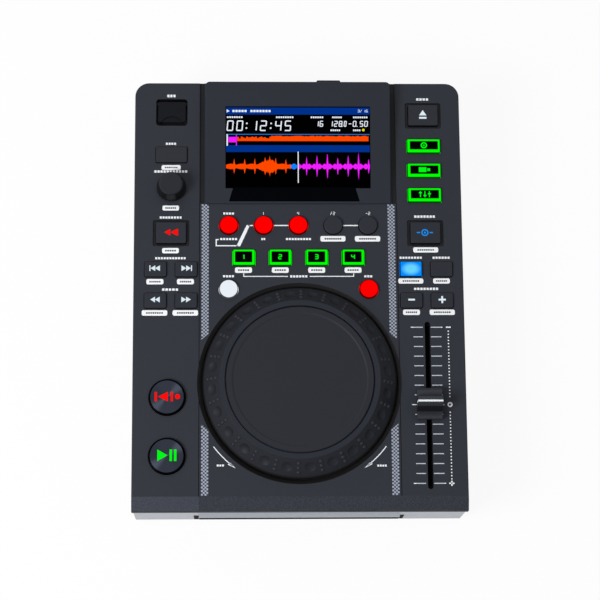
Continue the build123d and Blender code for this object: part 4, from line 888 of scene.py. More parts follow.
    def tangent(self) -> Socket:
        """Direction away from the middle of the nearer transport key.

        Returns:
            The direction, of length 1.
        """
        graph = self.graph
        x, y, _ = graph.axes(self.coords)
        halfway = ((CUE_Y + PLAY_Y) / 2 + BODY_Y) * MM
        rear = graph.math("GREATER_THAN", y, halfway)
        middle = graph.ramp(rear, 0.0, 1.0, (PLAY_Y + BODY_Y) * MM, (CUE_Y + BODY_Y) * MM)
        away = {"X": graph.math("SUBTRACT", x, TRANSPORT_X * MM), "Y": graph.math("SUBTRACT", y, middle)}
        outward = graph.node("ShaderNodeCombineXYZ", away).outputs[0]
        return graph.vector("NORMALIZE", {0: outward})[0]


class Palette:
    """Makes each material once, from its finish."""

    def __init__(self) -> None:
        """Starts with no material."""
        self.made: dict[str, Material] = {}
        self.grain = Grain()

    def __getitem__(self, name: str) -> Material:
        """The material of a finish.

        Args:
            name: Name of the finish.

        Returns:
            The material, made at the first call.
        """
        if name not in self.made:
            self.made[name] = self.make(name, FINISHES[name])
        return self.made[name]

    def make(self, name: str, finish: Finish) -> Material:
        """Makes one material.

        Args:
            name: Name of the material.
            finish: How it looks.

        Returns:
            The material.
        """
        material = bpy.data.materials.new(name)
        material.use_nodes = True
        material.node_tree.nodes.clear()
        graph = Graph(material.node_tree)
        coords = graph.node("ShaderNodeTexCoord").outputs["Object"]
        painter = Painter(graph, coords)
        color = linear(finish.tone)
        values = {"Roughness": finish.rough, "Metallic": finish.metal, "Specular IOR Level": finish.shine}
        if finish.grain:
            surface = {"Vector": coords, "Color": color, "Rough": finish.rough, "Scale": finish.scale}
            surface |= {"Amount": finish.grain, "Depth": finish.depth}
            grained = graph.group(self.grain.group(), surface)
            color = grained["Color"]
            values["Roughness"] = grained["Rough"]
            if finish.depth:
                values["Normal"] = grained["Normal"]
        color = painter.apply(finish.paint, color)
        values["Base Color"] = color
        if finish.glow:
            values |= {"Base Color": BLACK, "Emission Color": color, "Emission Strength": finish.glow}
        if finish.paint is Paint.SPUN:
            values |= {"Anisotropic": SPUN_STREAK, "Tangent": painter.tangent()}
        shader = graph.node("ShaderNodeBsdfPrincipled", values)
        graph.node("ShaderNodeOutputMaterial", {"Surface": shader.outputs[0]})
        return material


# ---------------------------------------------------------------- pieces


def publish(mesh: Mesh, name: str, body: str, slot: str) -> Piece:
    """Puts a mesh in the scene as a piece.

    Args:
        mesh: The mesh, in the frame's metres.
        name: Name of the piece.
        body: Body that it moves with.
        slot: Not used.

    Returns:
        The piece.
    """
    piece = bpy.data.objects.new(name, mesh)
    bpy.context.scene.collection.objects.link(piece)
    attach(piece, body)
    return piece


@dataclass
class Relief:
    """Thin shapes on one plane, gathered into one mesh.

    Args:
        place: Matrix from the plane's units to the frame.
        floor: Height of the shapes' foot over the plane.
    """

    place: Matrix
    floor: float = 0.0
    points: list[Spot] = field(default_factory=list)
    faces: list[list[int]] = field(default_factory=list)
    slots: list[int] = field(default_factory=list)

    def add(self, outlines: list[Outline], slot: int = 0, top: float = INK) -> None:
        """Adds shapes.

        Args:
            outlines: Their outlines, in either direction.
            slot: Number of their material.
            top: Height of their face over the plane.
        """
        for outline in outlines:
            outline = [p for p, q in zip(outline, outline[1:] + outline[:1]) if math.dist(p, q) > CLOSE]
            turns = zip(outline, outline[1:] + outline[:1])
            if sum(x0 * y1 - x1 * y0 for (x0, y0), (x1, y1) in turns) < 0:
                outline = outline[::-1]
            count = len(outline)
            base = len(self.points)
            self.points += [(x, y, self.floor) for x, y in outline] + [(x, y, top) for x, y in outline]
            self.faces.append([base + count + i for i in range(count)])
            self.faces.append([base + count - 1 - i for i in range(count)])
            for i in range(count):
                j = (i + 1) % count
                self.faces.append([base + i, base + j, base + count + j, base + count + i])
            self.slots += [slot] * (count + 2)

    def publish(self, name: str, body: str, slot: str, materials: list[Material]) -> Piece:
        """Makes the mesh and puts it in the scene.

        Args:
            name: Name of the piece.
            body: Body that it moves with.
            slot: Name of a material slot, handed on to publish.
            materials: Materials by their number.

        Returns:
            The piece.
        """
        mesh = bpy.data.meshes.new(name)
        mesh.from_pydata([self.place @ Vector(p) for p in self.points], [], self.faces)
        for material in materials:
            mesh.materials.append(material)
        mesh.polygons.foreach_set("material_index", self.slots)
        mesh.update()
        return publish(mesh, name, body, slot)


@dataclass(frozen=True)
class Lattice:
    """Grid of flat cells on the deck.

    Args:
        counts: Columns and rows.
        pitch: Distances between columns and between rows.
        cell: Width and depth of a cell.
        spot: Middle of the grid on the deck, and its height over the plate.
        checker: 1 leaves every other cell out.
    """

    counts: tuple[int, int]
    pitch: Point
    cell: Point
    spot: Spot
    checker: float = 0.0

    def mesh(self, name: str, material: Material) -> Mesh:
        """Makes the mesh.

        Args:
            name: Name of the mesh.
            material: Its material.

        Returns:
            The mesh, in the frame's metres.
        """
        x, y, z = self.spot
        width, depth = self.cell
        values = {
            "Columns": self.counts[0],
            "Rows": self.counts[1],
            "Pitch X": self.pitch[0] * MM,
            "Pitch Y": self.pitch[1] * MM,
            "Cell": (width * MM, depth * MM, INK * MM),
            "Middle": (x * MM, (y + BODY_Y) * MM, (PLATE_Z + z) * MM),
            "Checker": self.checker,
            "Material": material,
        }
        return bake(lattice_tree(), values, name)


@dataclass
class DeckPrint:
    """Print on the top plate: pills, label marks and the lines that join keys."""

    # middle, width and depth of each pill and of each label mark
    pills: tuple[tuple[float, ...], ...] = (
        (-85.4, 86.1, 12.9, 3.4),
        (-85.5, 57.8, 11.1, 3.5),
        (-85.5, 28.3, 11.2, 3.7),
        (-95.7, 7.0, 11.3, 3.7),
        (-75.4, 7.0, 11.3, 3.7),
        (-95.8, -14.3, 16.9, 3.7),
        (-75.4, -14.3, 16.9, 3.7),
        (23.1, 36.5, 16.8, 3.8),
        (46.3, 36.5, 17.0, 3.8),
        (-36.8, 14.9, 11.3, 3.8),
        (-12.3, 14.9, 11.3, 3.8),
        (12.0, 14.9, 11.3, 3.8),
        (36.3, 14.9, 11.3, 3.8),
        (85.2, 28.8, 16.8, 3.6),
        (74.8, 7.4, 16.7, 3.6),
        (95.3, 7.4, 11.2, 3.6),
        (74.8, -14.0, 11.3, 3.7),
        (95.3, -14.0, 16.8, 3.7),
    )
    labels: tuple[tuple[float, ...], ...] = (
        (-85.5, 136.7, 6.1, 2.9),
        (-85.6, 102.8, 7.3, 2.4),
        (-85.6, 83.3, 22.7, 2.6),
        (-85.5, 51.2, 15.1, 2.4),
        (-85.5, 23.1, 20.8, 2.3),
        (-85.6, 1.6, 11.2, 2.5),
        (-46.7, 54.0, 7.6, 2.3),
        (-46.7, 36.3, 11.8, 2.3),
        (-23.6, 36.3, 3.0, 2.3),
        (0.0, 36.3, 17.3, 2.3),
        (0.0, 10.6, 12.0, 2.3),
        (-46.8, 10.7, 7.8, 2.3),
        (46.4, 10.6, 5.8, 2.3),
        (85.0, 134.6, 8.7, 2.6),
        (84.9, 51.9, 14.4, 2.6),
        (75.0, 23.4, 15.4, 2.3),
        (95.4, 23.4, 12.0, 2.3),
        (84.9, 2.0, 16.6, 2.5),
        (-52.1, -116.3, 5.1, 2.0),
        (53.5, -116.7, 6.5, 2.0),
    )
    pill_r: float = 1.1
    pill_mark: Point = (0.68, 0.46)  # the dark mark's share of a pill
    numbers: tuple[tuple[str, float], ...] = (("1", -24.6), ("4", -0.8), ("/2", 21.6), ("-2", 45.2))
    numbers_y: float = 53.0
    number_style: Digits = Digits((1.4, 2.2), 1.7)
    line: float = 0.75
    thin_line: float = 0.6
    hook: tuple[Point, ...] = ((-53.4, 35.9), (-55.0, 35.9), (-55.0, 31.7), (-40.6, 31.7))
    slant: tuple[Point, ...] = ((-41.6, 31.33), (-39.0, 31.33), (-32.4, 46.05), (-34.6, 46.05))
    joins: tuple[Point, ...] = ((-33.6, -30.4), (-16.4, -6.8), (30.0, 39.9))
    joins_y: float = 45.7
    bracket: tuple[Point, ...] = ((36.65, 12.6), (36.65, 10.6), (7.3, 10.6))
    arrow_r: float = 70.8
    arrow_span: Point = (-143.0, -126.5)
    arrow_overlap: float = 2.0  # degrees by which the head covers the tail
    # the head's corners: distance outward from the tail's circle, and degrees from its tip
    arrow_head: tuple[Point, ...] = ((0.0, 0.0), (-0.7, -4.0), (1.3, -4.6))

    def build(self, palette: Palette) -> list[Piece]:
        """Makes the pieces."""
        makers = (self.build_pills, self.build_labels, self.build_lines, self.build_arrows)
        return [maker(palette) for maker in makers]

    def build_pills(self, palette: Palette) -> Piece:
        """Makes the white rounded bars, each with a small dark mark.

        Args:
            palette: The materials.

        Returns:
            The piece.
        """
        bars = Relief(deck_place())
        across, along = self.pill_mark
        for x, y, width, depth in self.pills:
            bars.add([rounded(x, y, width, depth, self.pill_r)])
            bars.add(DASHES.row(x, y, width * across, depth * along), 1, 2 * INK)
        materials = [palette["pill_white"], palette["pill_mark"]]
        return bars.publish("deck_pills", "case", "cover_plastic", materials)

    def build_labels(self, palette: Palette) -> Piece:
        """Makes the rows of short bars, and the plain numbers over the loop keys.

        Args:
            palette: The materials.

        Returns:
            The piece.
        """
        marks = Relief(deck_place())
        for label in self.labels:
            marks.add(DASHES.row(*label))
        for text, x in self.numbers:
            marks.add(self.number_style.row(text, x, self.numbers_y))
        return marks.publish("deck_labels", "case", "cover_plastic", [palette["ink_white"]])

    def build_lines(self, palette: Palette) -> Piece:
        """Makes the lines that join the loop keys, and the bracket under the pads.

        Args:
            palette: The materials.

        Returns:
            The piece.
        """
        lines = Relief(deck_place())
        lines.add([ribbon(self.hook, self.line), list(self.slant)])
        for x0, x1 in self.joins:
            lines.add([box((x0 + x1) / 2, self.joins_y, x1 - x0, self.line)])
        for half in (mirrored(self.bracket), self.bracket):
            lines.add([ribbon(half, self.thin_line)])
        return lines.publish("deck_lines", "case", "cover_plastic", [palette["ink_white"]])

    @staticmethod
    def circle_point(radius: float, bearing: float) -> Point:
        """A place at a distance and a bearing in degrees from the jog wheel's middle."""
        return arc(0, JOG_Y, radius, bearing, bearing, 1)[0]

    def build_arrows(self, palette: Palette) -> Piece:
        """Makes the two curved arrows beside the jog wheel.

        Args:
            palette: The materials.

        Returns:
            The piece.
        """
        start, end = self.arrow_span
        tail = arc(0, JOG_Y, self.arrow_r, start, end - self.arrow_overlap)
        head = [self.circle_point(self.arrow_r + out, end + back) for out, back in self.arrow_head]
        arrows = Relief(deck_place())
        for turn in (list, mirrored):
            arrows.add([ribbon(turn(tail), self.thin_line), turn(head)])
        return arrows.publish("jog_arrows", "case", "cover_plastic", [palette["ink_white"]])


@dataclass
class HatchStrips:
    """Checkered strips that run down both sides of the middle."""

    inner: float = 60.0
    outer: float = 64.7
    cells: int = 4
    lift: float = 1.6 * INK  # height of the light cells' middle
    rear: float = 60.3
    front: float = -136.1
    # where the strips stop at the jog wheel: y at the inner edge and at the outer edge
    upper_end: Point = (-28.3, -32.4)
    lower_end: Point = (-93.0, -88.9)

    def build(self, palette: Palette) -> list[Piece]:
        """Makes the dark base and the light cells of the four strips.

        Args:
            palette: The materials.

        Returns:
            The pieces.
        """
        base = Relief(deck_place())
        pieces = []
        for side, word in ((-1, "left"), (1, "right")):
            inner, outer = side * self.inner, side * self.outer
            for far, ends, place in (
                (self.rear, self.upper_end, "upper"),
                (self.front, self.lower_end, "lower"),
            ):
                base.add([[(inner, far), (inner, ends[0]), (outer, ends[1]), (outer, far)]])
                pieces.append(self.build_cells(palette, f"hatch_{word}_{place}", side, far, ends))
        pieces.append(base.publish("hatch_base", "case", "cover_plastic", [palette["hatch_dark"]]))
        return pieces

    def build_cells(self, palette: Palette, name: str, side: int, far: float, ends: Point) -> Piece:
        """Makes the light cells of one strip, cut off at a slant beside the jog wheel.

        Args:
            palette: The materials.
            name: Name of the piece.
            side: -1 on the left, 1 on the right.
            far: The strip's end away from the wheel.
            ends: Its end at the wheel, at the inner edge and at the outer edge.

        Returns:
            The piece.
        """
        pitch = (self.outer - self.inner) / self.cells
        near = min(ends) if far > 0 else max(ends)
        rows = round(abs(far - near) / pitch)
        spot = (side * (self.inner + self.outer) / 2, (far + near) / 2, self.lift)
        grid = Lattice((self.cells, rows), (pitch, pitch), (pitch, pitch), spot, checker=1.0)
        mesh = grid.mesh(name, palette["hatch_light"])
        corner = Vector((side * self.inner, ends[0] + BODY_Y, 0)) * MM
        edge = Vector((side * self.outer, ends[1] + BODY_Y, 0)) * MM - corner
        across = Vector((edge.y, -edge.x, 0))
        if across.y * far > 0:
            across.negate()
        cells = bmesh.new()
        cells.from_mesh(mesh)
        parts = cells.verts[:] + cells.edges[:] + cells.faces[:]
        bmesh.ops.bisect_plane(cells, geom=parts, plane_co=corner, plane_no=across, clear_outer=True)
        bmesh.ops.holes_fill(cells, edges=[cut for cut in cells.edges if cut.is_boundary])
        bmesh.ops.recalc_face_normals(cells, faces=cells.faces[:])
        cells.to_mesh(mesh)
        cells.free()
        return publish(mesh, name, "case", "cover_plastic")


@dataclass
class FaderScale:
    """Ticks, dots and signs beside the pitch fader."""

    first: float = -24.2
    last: float = -128.5
    ticks: int = 17
    tick: float = 0.6
    left: Point = (75.9, 82.1)
    right: Point = (87.4, 94.3)
    # how much longer the ticks at the ends and in the middle are, to the left and to the right
    longer: Point = (1.8, 0.9)
    signs_x: float = 99.0
    minus: Point = (3.2, 0.8)
    minus_shift: float = 0.1
    zero: Point = (1.7, 0.75)
    plus: Point = (3.4, 0.9)
    plus_top: float = 1.5 * INK
    dot: float = 0.8
    dot_pitch: float = 2.1
    dots_per_run: int = 22
    dots_start: Point = (2.7, 2.9)  # from the minus and from the plus

    def build(self, palette: Palette) -> list[Piece]:
        """Makes the scale.

        Args:
            palette: The materials.

        Returns:
            The pieces.
        """
        pitch = (self.first - self.last) / (self.ticks - 1)
        pieces = []
        for word, (x0, x1) in (("left", self.left), ("right", self.right)):
            spot = ((x0 + x1) / 2, (self.first + self.last) / 2, INK / 2)
            column = Lattice((1, self.ticks), (1, pitch), (x1 - x0, self.tick), spot)
            mesh = column.mesh("tick_" + word, palette["ink_grey"])
            pieces.append(publish(mesh, "fader_ticks_" + word, "case", "cover_plastic"))
        pieces.append(self.build_signs(palette))
        run = (self.dots_per_run - 1) * self.dot_pitch / 2
        rear, front = self.dots_start
        for word, y in (("rear", self.first - rear - run), ("front", self.last + front + run)):
            spot = (self.signs_x, y, INK / 2)
            column = Lattice((1, self.dots_per_run), (1, self.dot_pitch), (self.dot, self.dot), spot)
            mesh = column.mesh("dots_" + word, palette["ink_white"])
            pieces.append(publish(mesh, "fader_dots_" + word, "case", "cover_plastic"))
        return pieces

    def build_signs(self, palette: Palette) -> Piece:
        """Makes the longer ends of three ticks, and the minus, the ring and the plus.

        Args:
            palette: The materials.

        Returns:
            The piece.
        """
        signs = Relief(deck_place())
        middle = (self.first + self.last) / 2
        left, right = self.longer
        for y in (self.first, middle, self.last):
            signs.add([box(self.left[0] - left / 2, y, left, self.tick)])
            signs.add([box(self.right[1] + right / 2, y, right, self.tick)])
        x = self.signs_x
        signs.add([box(x + self.minus_shift, self.first, *self.minus)])
        signs.add(hoop(x, middle, *self.zero))
        signs.add([box(x, self.last, *self.plus), box(x, self.last, *self.plus[::-1])], top=self.plus_top)
        return signs.publish("fader_signs", "case", "cover_plastic", [palette["ink_white"]])


class Glyph(Enum):
    """Plain symbols on the keys."""

    PREVIOUS = "previous"
    NEXT = "next"
    BACK = "back"
    FORWARD = "forward"
    EJECT = "eject"
    MINUS = "minus"
    PLUS = "plus"
    REVERSE = "reverse"
    WHEEL = "wheel"
    DISC = "disc"
    STICK = "stick"
    SLIDERS = "sliders"
    CUE = "cue"
    PLAY = "play"


ARROWS = [triangle(-1.6, 0, 3.2, 3.9), triangle(1.5, 0, 3.2, 3.9)]
BACK_ARROWS = [mirrored(arrow) for arrow in ARROWS]
SLIDER_RAILS = [box(x, 0, 0.7, 4.2) for x in (-3.0, 0, 3.0)]
SLIDER_CAPS = [box(x, y, 2.0, 1.0) for x, y in ((-3.0, 1.0), (0, -0.9), (3.0, 0.3))]

# outlines of each symbol round its middle
GLYPHS = {
    Glyph.PREVIOUS: [*BACK_ARROWS, box(-3.45, 0, 0.7, 3.9)],
    Glyph.NEXT: [*ARROWS, box(3.45, 0, 0.7, 3.9)],
    Glyph.BACK: BACK_ARROWS,
    Glyph.FORWARD: ARROWS,
    Glyph.EJECT: [[(-2.5, -0.7), (2.5, -0.7), (0, 3.1)], box(0, -2.4, 5.0, 1.3)],
    Glyph.MINUS: [box(0, 0, 4.4, 1.2)],
    Glyph.PLUS: [box(0, 0, 4.8, 1.2), box(0, 1.5, 1.2, 1.8), box(0, -1.5, 1.2, 1.8)],
    Glyph.REVERSE: [triangle(-2.5, 0, -4.0, 4.4), triangle(1.7, 0, -4.0, 4.4), box(4.3, 0, 0.9, 4.4)],
    Glyph.WHEEL: [
        *hoop(0, 0, 2.4, 1.6),
        circle(0, 0, 0.7, 20),
        box(-4.3, 0, 2.2, 0.8),
        box(4.3, 0, 2.2, 0.8),
    ],
    Glyph.DISC: [*hoop(0, 0, 2.2, 1.3), circle(0, 0, 0.6, 20)],
    Glyph.STICK: [box(-1.2, 0, 5.2, 3.4), box(2.9, 0, 2.0, 2.0)],
    Glyph.SLIDERS: [*SLIDER_RAILS, *SLIDER_CAPS],
    Glyph.CUE: [
        box(-7.3, 0, 1.5, 6.2),
        triangle(-2.6, 0, -6.4, 6.4),
        box(3.2, 0, 1.5, 6.2),
        circle(6.9, 0, 1.7, 28),
    ],
    Glyph.PLAY: [triangle(-2.95, 0, 6.6, 7.6), box(2.55, 0, 1.6, 7.6), box(5.4, 0, 1.6, 7.6)],
}


@dataclass(frozen=True)
class Legend:
    """A mark on top of a key.

    Args:
        key: The key's name without its ending.
        spot: Middle of the mark on the deck.
        top: Height of the key's face over the plate.
        mark: Symbol, or a digit.
        ink: Finish of the mark.
        panel: Width and depth of a dark panel under the mark, or None.
        slot: Material slot of the key.
    """

    key: str
    spot: Point
    top: float
    mark: Glyph | str
    ink: str
    panel: Point | None = None
    slot: str = "key_dark"
    digit_style: Digits = Digits((2.6, 3.6), 3.0, weight=0.2)
    digit_foot: Point = (-1.3, -1.8)
    one_foot: Point = (-2.0, -1.8)  # a 1 stands at the right end of its width
    panel_r: float = 0.4

    def outlines(self) -> list[Outline]:
        """The mark's outlines round its middle."""
        foot = self.one_foot if self.mark == "1" else self.digit_foot
        return GLYPHS[self.mark] if self.mark in GLYPHS else self.digit_style.row(self.mark, *foot)

    def build(self, palette: Palette) -> list[Piece]:
        """Makes the mark, on its panel if it has one.

        Args:
            palette: The materials.

        Returns:
            The piece.
        """
        relief = Relief(deck_place(self.top) @ Matrix.Translation((*self.spot, 0)))
        if self.panel:
            relief.add([rounded(0, 0, *self.panel, self.panel_r)], 1)
        relief.add(self.outlines(), 0, 2 * INK)
        materials = [palette[self.ink], palette["lit_panel"]]
        return [relief.publish(self.key + "_legend", self.key + "_key", self.slot, materials)]


PAIR_X = 10.2  # from a column's middle to the keys of a pair in it
PAD_PITCH = 24.35
PAD_PANEL = (11.5, 7.5)
SOURCE_PANEL = (19.0, 5.9)
# heights of the keys' faces over the plate
PAIR_TOP = 1.4
LIT_TOP = 1.5
WIDE_TOP = 1.6
ROUND_TOP = 2.2


def all_legends() -> list[Legend]:
    """Lists the legends of every marked key.

    Returns:
        The legends.
    """
    left, right = -COLUMN_X, COLUMN_X
    cue = (TRANSPORT_X, CUE_Y + 0.2)
    play = (TRANSPORT_X + 0.2, PLAY_Y + 0.4)
    white = "lit_white"
    legends = [
        Legend("track_previous", (left - PAIR_X - 0.2, 15.9), PAIR_TOP, Glyph.PREVIOUS, white),
        Legend("track_next", (left + PAIR_X + 0.1, 15.9), PAIR_TOP, Glyph.NEXT, white),
        Legend("search_back", (left - PAIR_X - 0.2, -5.5), PAIR_TOP, Glyph.BACK, white),
        Legend("search_forward", (left + PAIR_X + 0.1, -5.5), PAIR_TOP, Glyph.FORWARD, white),
        Legend("bend_minus", (right - PAIR_X, -5.7), PAIR_TOP, Glyph.MINUS, white),
        Legend("bend_plus", (right + PAIR_X, -5.7), PAIR_TOP, Glyph.PLUS, white),
        Legend("eject", (right - 0.1, 123.4), WIDE_TOP, Glyph.EJECT, white),
        Legend("reverse", (left, 40.6), WIDE_TOP, Glyph.REVERSE, "lit_red"),
        Legend("jog_mode", (right - 0.4, 40.4), WIDE_TOP, Glyph.WHEEL, "lit_blue"),
        Legend("cue", cue, ROUND_TOP, Glyph.CUE, "lit_red", slot="key_metal"),
        Legend("play", play, ROUND_TOP, Glyph.PLAY, "lit_green", slot="key_metal"),
    ]
    green = "lit_green"
    sources = (("disc", 101.55, Glyph.DISC), ("usb", 84.35, Glyph.STICK), ("control", 67.15, Glyph.SLIDERS))
    for word, y, glyph in sources:
        spot = (right + 0.2, y)
        legends.append(Legend("source_" + word, spot, LIT_TOP, glyph, green, SOURCE_PANEL, "key_green"))
    for number in range(4):
        spot = ((number - 1.5) * PAD_PITCH - 0.2, 23.7)
        key = f"hot_cue_{number + 1}"
        legends.append(Legend(key, spot, LIT_TOP, str(number + 1), green, PAD_PANEL, "key_green"))
    return legends


@dataclass
class Picture:
    """What the display shows, drawn in its own cells of 480 by 272, counted from the top left."""

    pitch: float = 0.2017
    columns: int = 480
    rows: int = 272
    # layers from the bottom up: the ground, what lies on it, and the uppermost
    layer: float = 0.02
    middle: int = 2
    upper: int = 3
    colours: tuple[str, ...] = ("black", "navy", "white", "orange", "magenta", "sky", "yellow", "azure")
    # left, top, right, bottom, colour and layer of each plain field
    fields: tuple[tuple, ...] = (
        (0, 0, 480, 272, "black", 1),
        (0, 1, 480, 25, "navy", 2),
        (0, 91, 480, 93.5, "sky", 2),
        (1.5, 92, 6, 131, "white", 3),
        (8, 101, 33, 119.5, "magenta", 2),
        (33, 95, 36, 130, "magenta", 3),
        (0, 129, 480, 152.3, "navy", 2),
        (239, 150.6, 242, 256.5, "white", 3),
    )
    # left, right, middle, height and layer of each mark that stands for a word
    words: tuple[tuple, ...] = (
        (20, 70, 13, 12, 3),
        (80, 150, 13, 12, 3),
        (2, 56, 34, 9, 2),
        (166, 226, 34, 9, 2),
        (282, 326, 34, 9, 2),
        (354, 388, 34, 9, 2),
        (424, 474, 34, 9, 2),
        (348, 382, 78, 9, 2),
        (424, 450, 78, 9, 2),
    )
    # text, left end, foot, size of a digit, pitch, weight and layer
    numbers: tuple[tuple, ...] = (
        ("3/16", 440, 17, (7, 9), 9, 0.14, 3),
        ("00", 1, 81, (22, 36), 32, 0.11, 2),
        (":", 67, 81, (21, 36), 31, 0.14, 2),
        ("12", 80, 81, (22, 36), 32, 0.11, 2),
        (":", 148, 81, (21, 36), 31, 0.14, 2),
        ("45", 162, 81, (22, 36), 32, 0.11, 2),
        ("16", 297, 66, (12, 20), 15, 0.14, 2),
        ("128", 344, 66, (12, 20), 16, 0.14, 2),
        (".", 388, 66, (12, 20), 16, 0.14, 2),
        ("0", 393, 66, (9, 20), 14, 0.14, 2),
        ("-0.50", 408, 66, (12, 20), 15, 0.14, 2),
    )
    lean: float = 0.09
    play_mark: tuple[float, ...] = (7, 13, 10, 11)  # middle, width and height
    lamp: tuple[float, ...] = (459, 77, 4.5)  # middle and radius
    # overview of the track: left, right, top and foot; its steps, and its dips there and at its start
    overview: tuple[float, ...] = (37, 476, 97, 115)
    overview_step: float = 6.0
    dips: tuple[int, ...] = (0, 0, 1, 2)
    start_dips: tuple[int, ...] = (3, 6, 8)
    start_length: float = 110.0
    # sound waves on both sides of the needle
    wave_v: float = 201.5
    wave_step: float = 1.5
    wave_sag: float = 0.92  # depth below the middle line as a share of the height over it
    rough: Point = (0, 216)
    rough_spikes: tuple[Point, ...] = (
        (26.8, 28),
        (62, 30),
        (95.8, 30),
        (130, 36),
        (145.7, 38),
        (165.5, 34),
        (199.3, 27),
    )
    rough_spike: float = 4.0  # half width of a spike at its foot
    rough_hum: tuple[float, ...] = (6, 3.5, 11)  # least height, swing and length of the swell
    burst: tuple[float, ...] = (143, 22, 16)  # middle, half width and height of the loud place
    burst_range: Point = (0.6, 1.3)
    lull: Point = (216, 237)
    lull_hum: Point = (4, 6)  # least height and swing
    even: Point = (243, 480)
    even_spike: float = 3.6
    even_hum: tuple[float, ...] = (3.5, 6.5, 17.2)
    even_sharp: float = 1.5  # power that sharpens the swell
    beats: tuple[float, ...] = (268.7, 34.7, 6)  # first beat, distance between beats, and count
    beat_rise: tuple[int, ...] = (36, 44, 52)
    last_spike: Point = (476, 30)
    draw: random.Random = field(default_factory=lambda: random.Random(7))

    def spot(self, u: float, v: float) -> Point:
        """A place counted from the top left, as one from the middle."""
        return (u - self.columns / 2, self.rows / 2 - v)

    def cell(self, u0: float, v0: float, u1: float, v1: float) -> Outline:
        """Rectangle between its top left and bottom right corners."""
        corners = ((u0, v1), (u1, v1), (u1, v0), (u0, v0))
        return [self.spot(u, v) for u, v in corners]

    def wave(
        self,
        ends: Point,
        swell: Callable[[float], float],
        spikes: tuple[Point, ...],
        half: float,
    ) -> Outline:
        """Draws a sound wave.

        Args:
            ends: Left and right end.
            swell: Function from a place to the height between the spikes.
            spikes: Places and heights of the spikes.
            half: Half width of a spike at its foot.

        Returns:
            The wave's outline.
        """
        start, end = ends
        count = int((end - start) / self.wave_step)
        upper, lower = [], []
        for i in range(count + 1):
            u = start + (end - start) * i / count
            height = swell(u)
            for peak, rise in spikes:
                height = max(height, rise * max(0.0, 1 - abs(u - peak) / half))
            upper.append(self.spot(u, self.wave_v - height))
            lower.append(self.spot(u, self.wave_v + height * self.wave_sag))
        return lower + upper[::-1]

    def rough_swell(self, u: float) -> float:
        """Height of the left wave between its spikes.

        Args:
            u: Place from left to right.

        Returns:
            The height over the middle line.
        """
        middle, half, height = self.burst
        loud = height * math.exp(-(((u - middle) / half) ** 2)) * self.draw.uniform(*self.burst_range)
        least, swing, length = self.rough_hum
        return least + swing * abs(math.sin(u / length)) + loud

    def lull_swell(self, u: float) -> float:
        """Height of the short wave before the needle.

        Args:
            u: Place from left to right.

        Returns:
            The height over the middle line.
        """
        start, end = self.lull
        least, swing = self.lull_hum
        return least + swing * math.sin((u - start) / (end - start) * math.pi)

    def even_swell(self, u: float) -> float:
        """Height of the right wave between its spikes."""
        least, swing, length = self.even_hum
        return least + swing * abs(math.sin(math.pi * (u - self.beats[0]) / length)) ** self.even_sharp

    def skyline(self) -> Outline:
        """Draws the overview of the track: a level foot and an uneven top.

        Returns:
            Its outline.
        """
        start, end, top, foot = self.overview
        points = [self.spot(end, foot), self.spot(start, foot)]
        u = start
        while u < end:
            dip = self.draw.choice(self.dips)
            dip += self.draw.choice(self.start_dips) if u < start + self.start_length else 0
            points += [self.spot(u, top + dip), self.spot(min(u + self.overview_step, end), top + dip)]
            u += self.overview_step
        return points[::-1]

    def build(self, palette: Palette) -> list[Piece]:
        """Makes the picture as one piece, layer over layer.

        Args:
            palette: The materials.

        Returns:
            The piece.
        """
        place = screen_place() @ Matrix.Diagonal((self.pitch, self.pitch, 1, 1))
        art = Relief(place @ Matrix.Translation((0, 0, -GLASS_SINK)))
        self.add_signs(art)
        self.add_sound(art)
        materials = [palette["picture_" + colour] for colour in self.colours]
        return [art.publish("screen_picture", "case", "screen_glass", materials)]

    def paint(self, art: Relief, shapes: list[Outline], colour: str, level: int) -> None:
        """Adds shapes of one colour on one layer."""
        art.add(shapes, self.colours.index(colour), level * self.layer)

    def add_signs(self, art: Relief) -> None:
        """Adds the plain fields, the marks for words, the numbers, the triangle and the lamp.

        Args:
            art: What they are added to.
        """
        for *corners, colour, level in self.fields:
            self.paint(art, [self.cell(*corners)], colour, level)
        for u0, u1, v, height, level in self.words:
            row = DASHES.row(*self.spot((u0 + u1) / 2, v), u1 - u0, height)
            self.paint(art, row, "white", level)
        for text, u, v, size, pitch, weight, level in self.numbers:
            row = Digits(size, pitch, self.lean, weight).row(text, *self.spot(u, v))
            self.paint(art, row, "white", level)
        u, v, *size = self.play_mark
        self.paint(art, [triangle(*self.spot(u, v), *size)], "white", self.upper)
        u, v, radius = self.lamp
        self.paint(art, [circle(*self.spot(u, v), radius, count=20)], "yellow", self.middle)

    def add_sound(self, art: Relief) -> None:
        """Adds the overview of the track and the sound waves.

        Args:
            art: What they are added to.
        """
        self.paint(art, [self.skyline()], "orange", self.middle)
        rough = self.wave(self.rough, self.rough_swell, self.rough_spikes, self.rough_spike)
        lull = self.wave(self.lull, self.lull_swell, (), self.rough_spike)
        first, pitch, count = self.beats
        rises = self.beat_rise
        spikes = [(first + pitch * i, rises[i % len(rises)]) for i in range(count)]
        even = self.wave(self.even, self.even_swell, (*spikes, self.last_spike), self.even_spike)
        for shape, colour in ((rough, "orange"), (lull, "azure"), (even, "magenta")):
            self.paint(art, [shape], colour, self.middle)


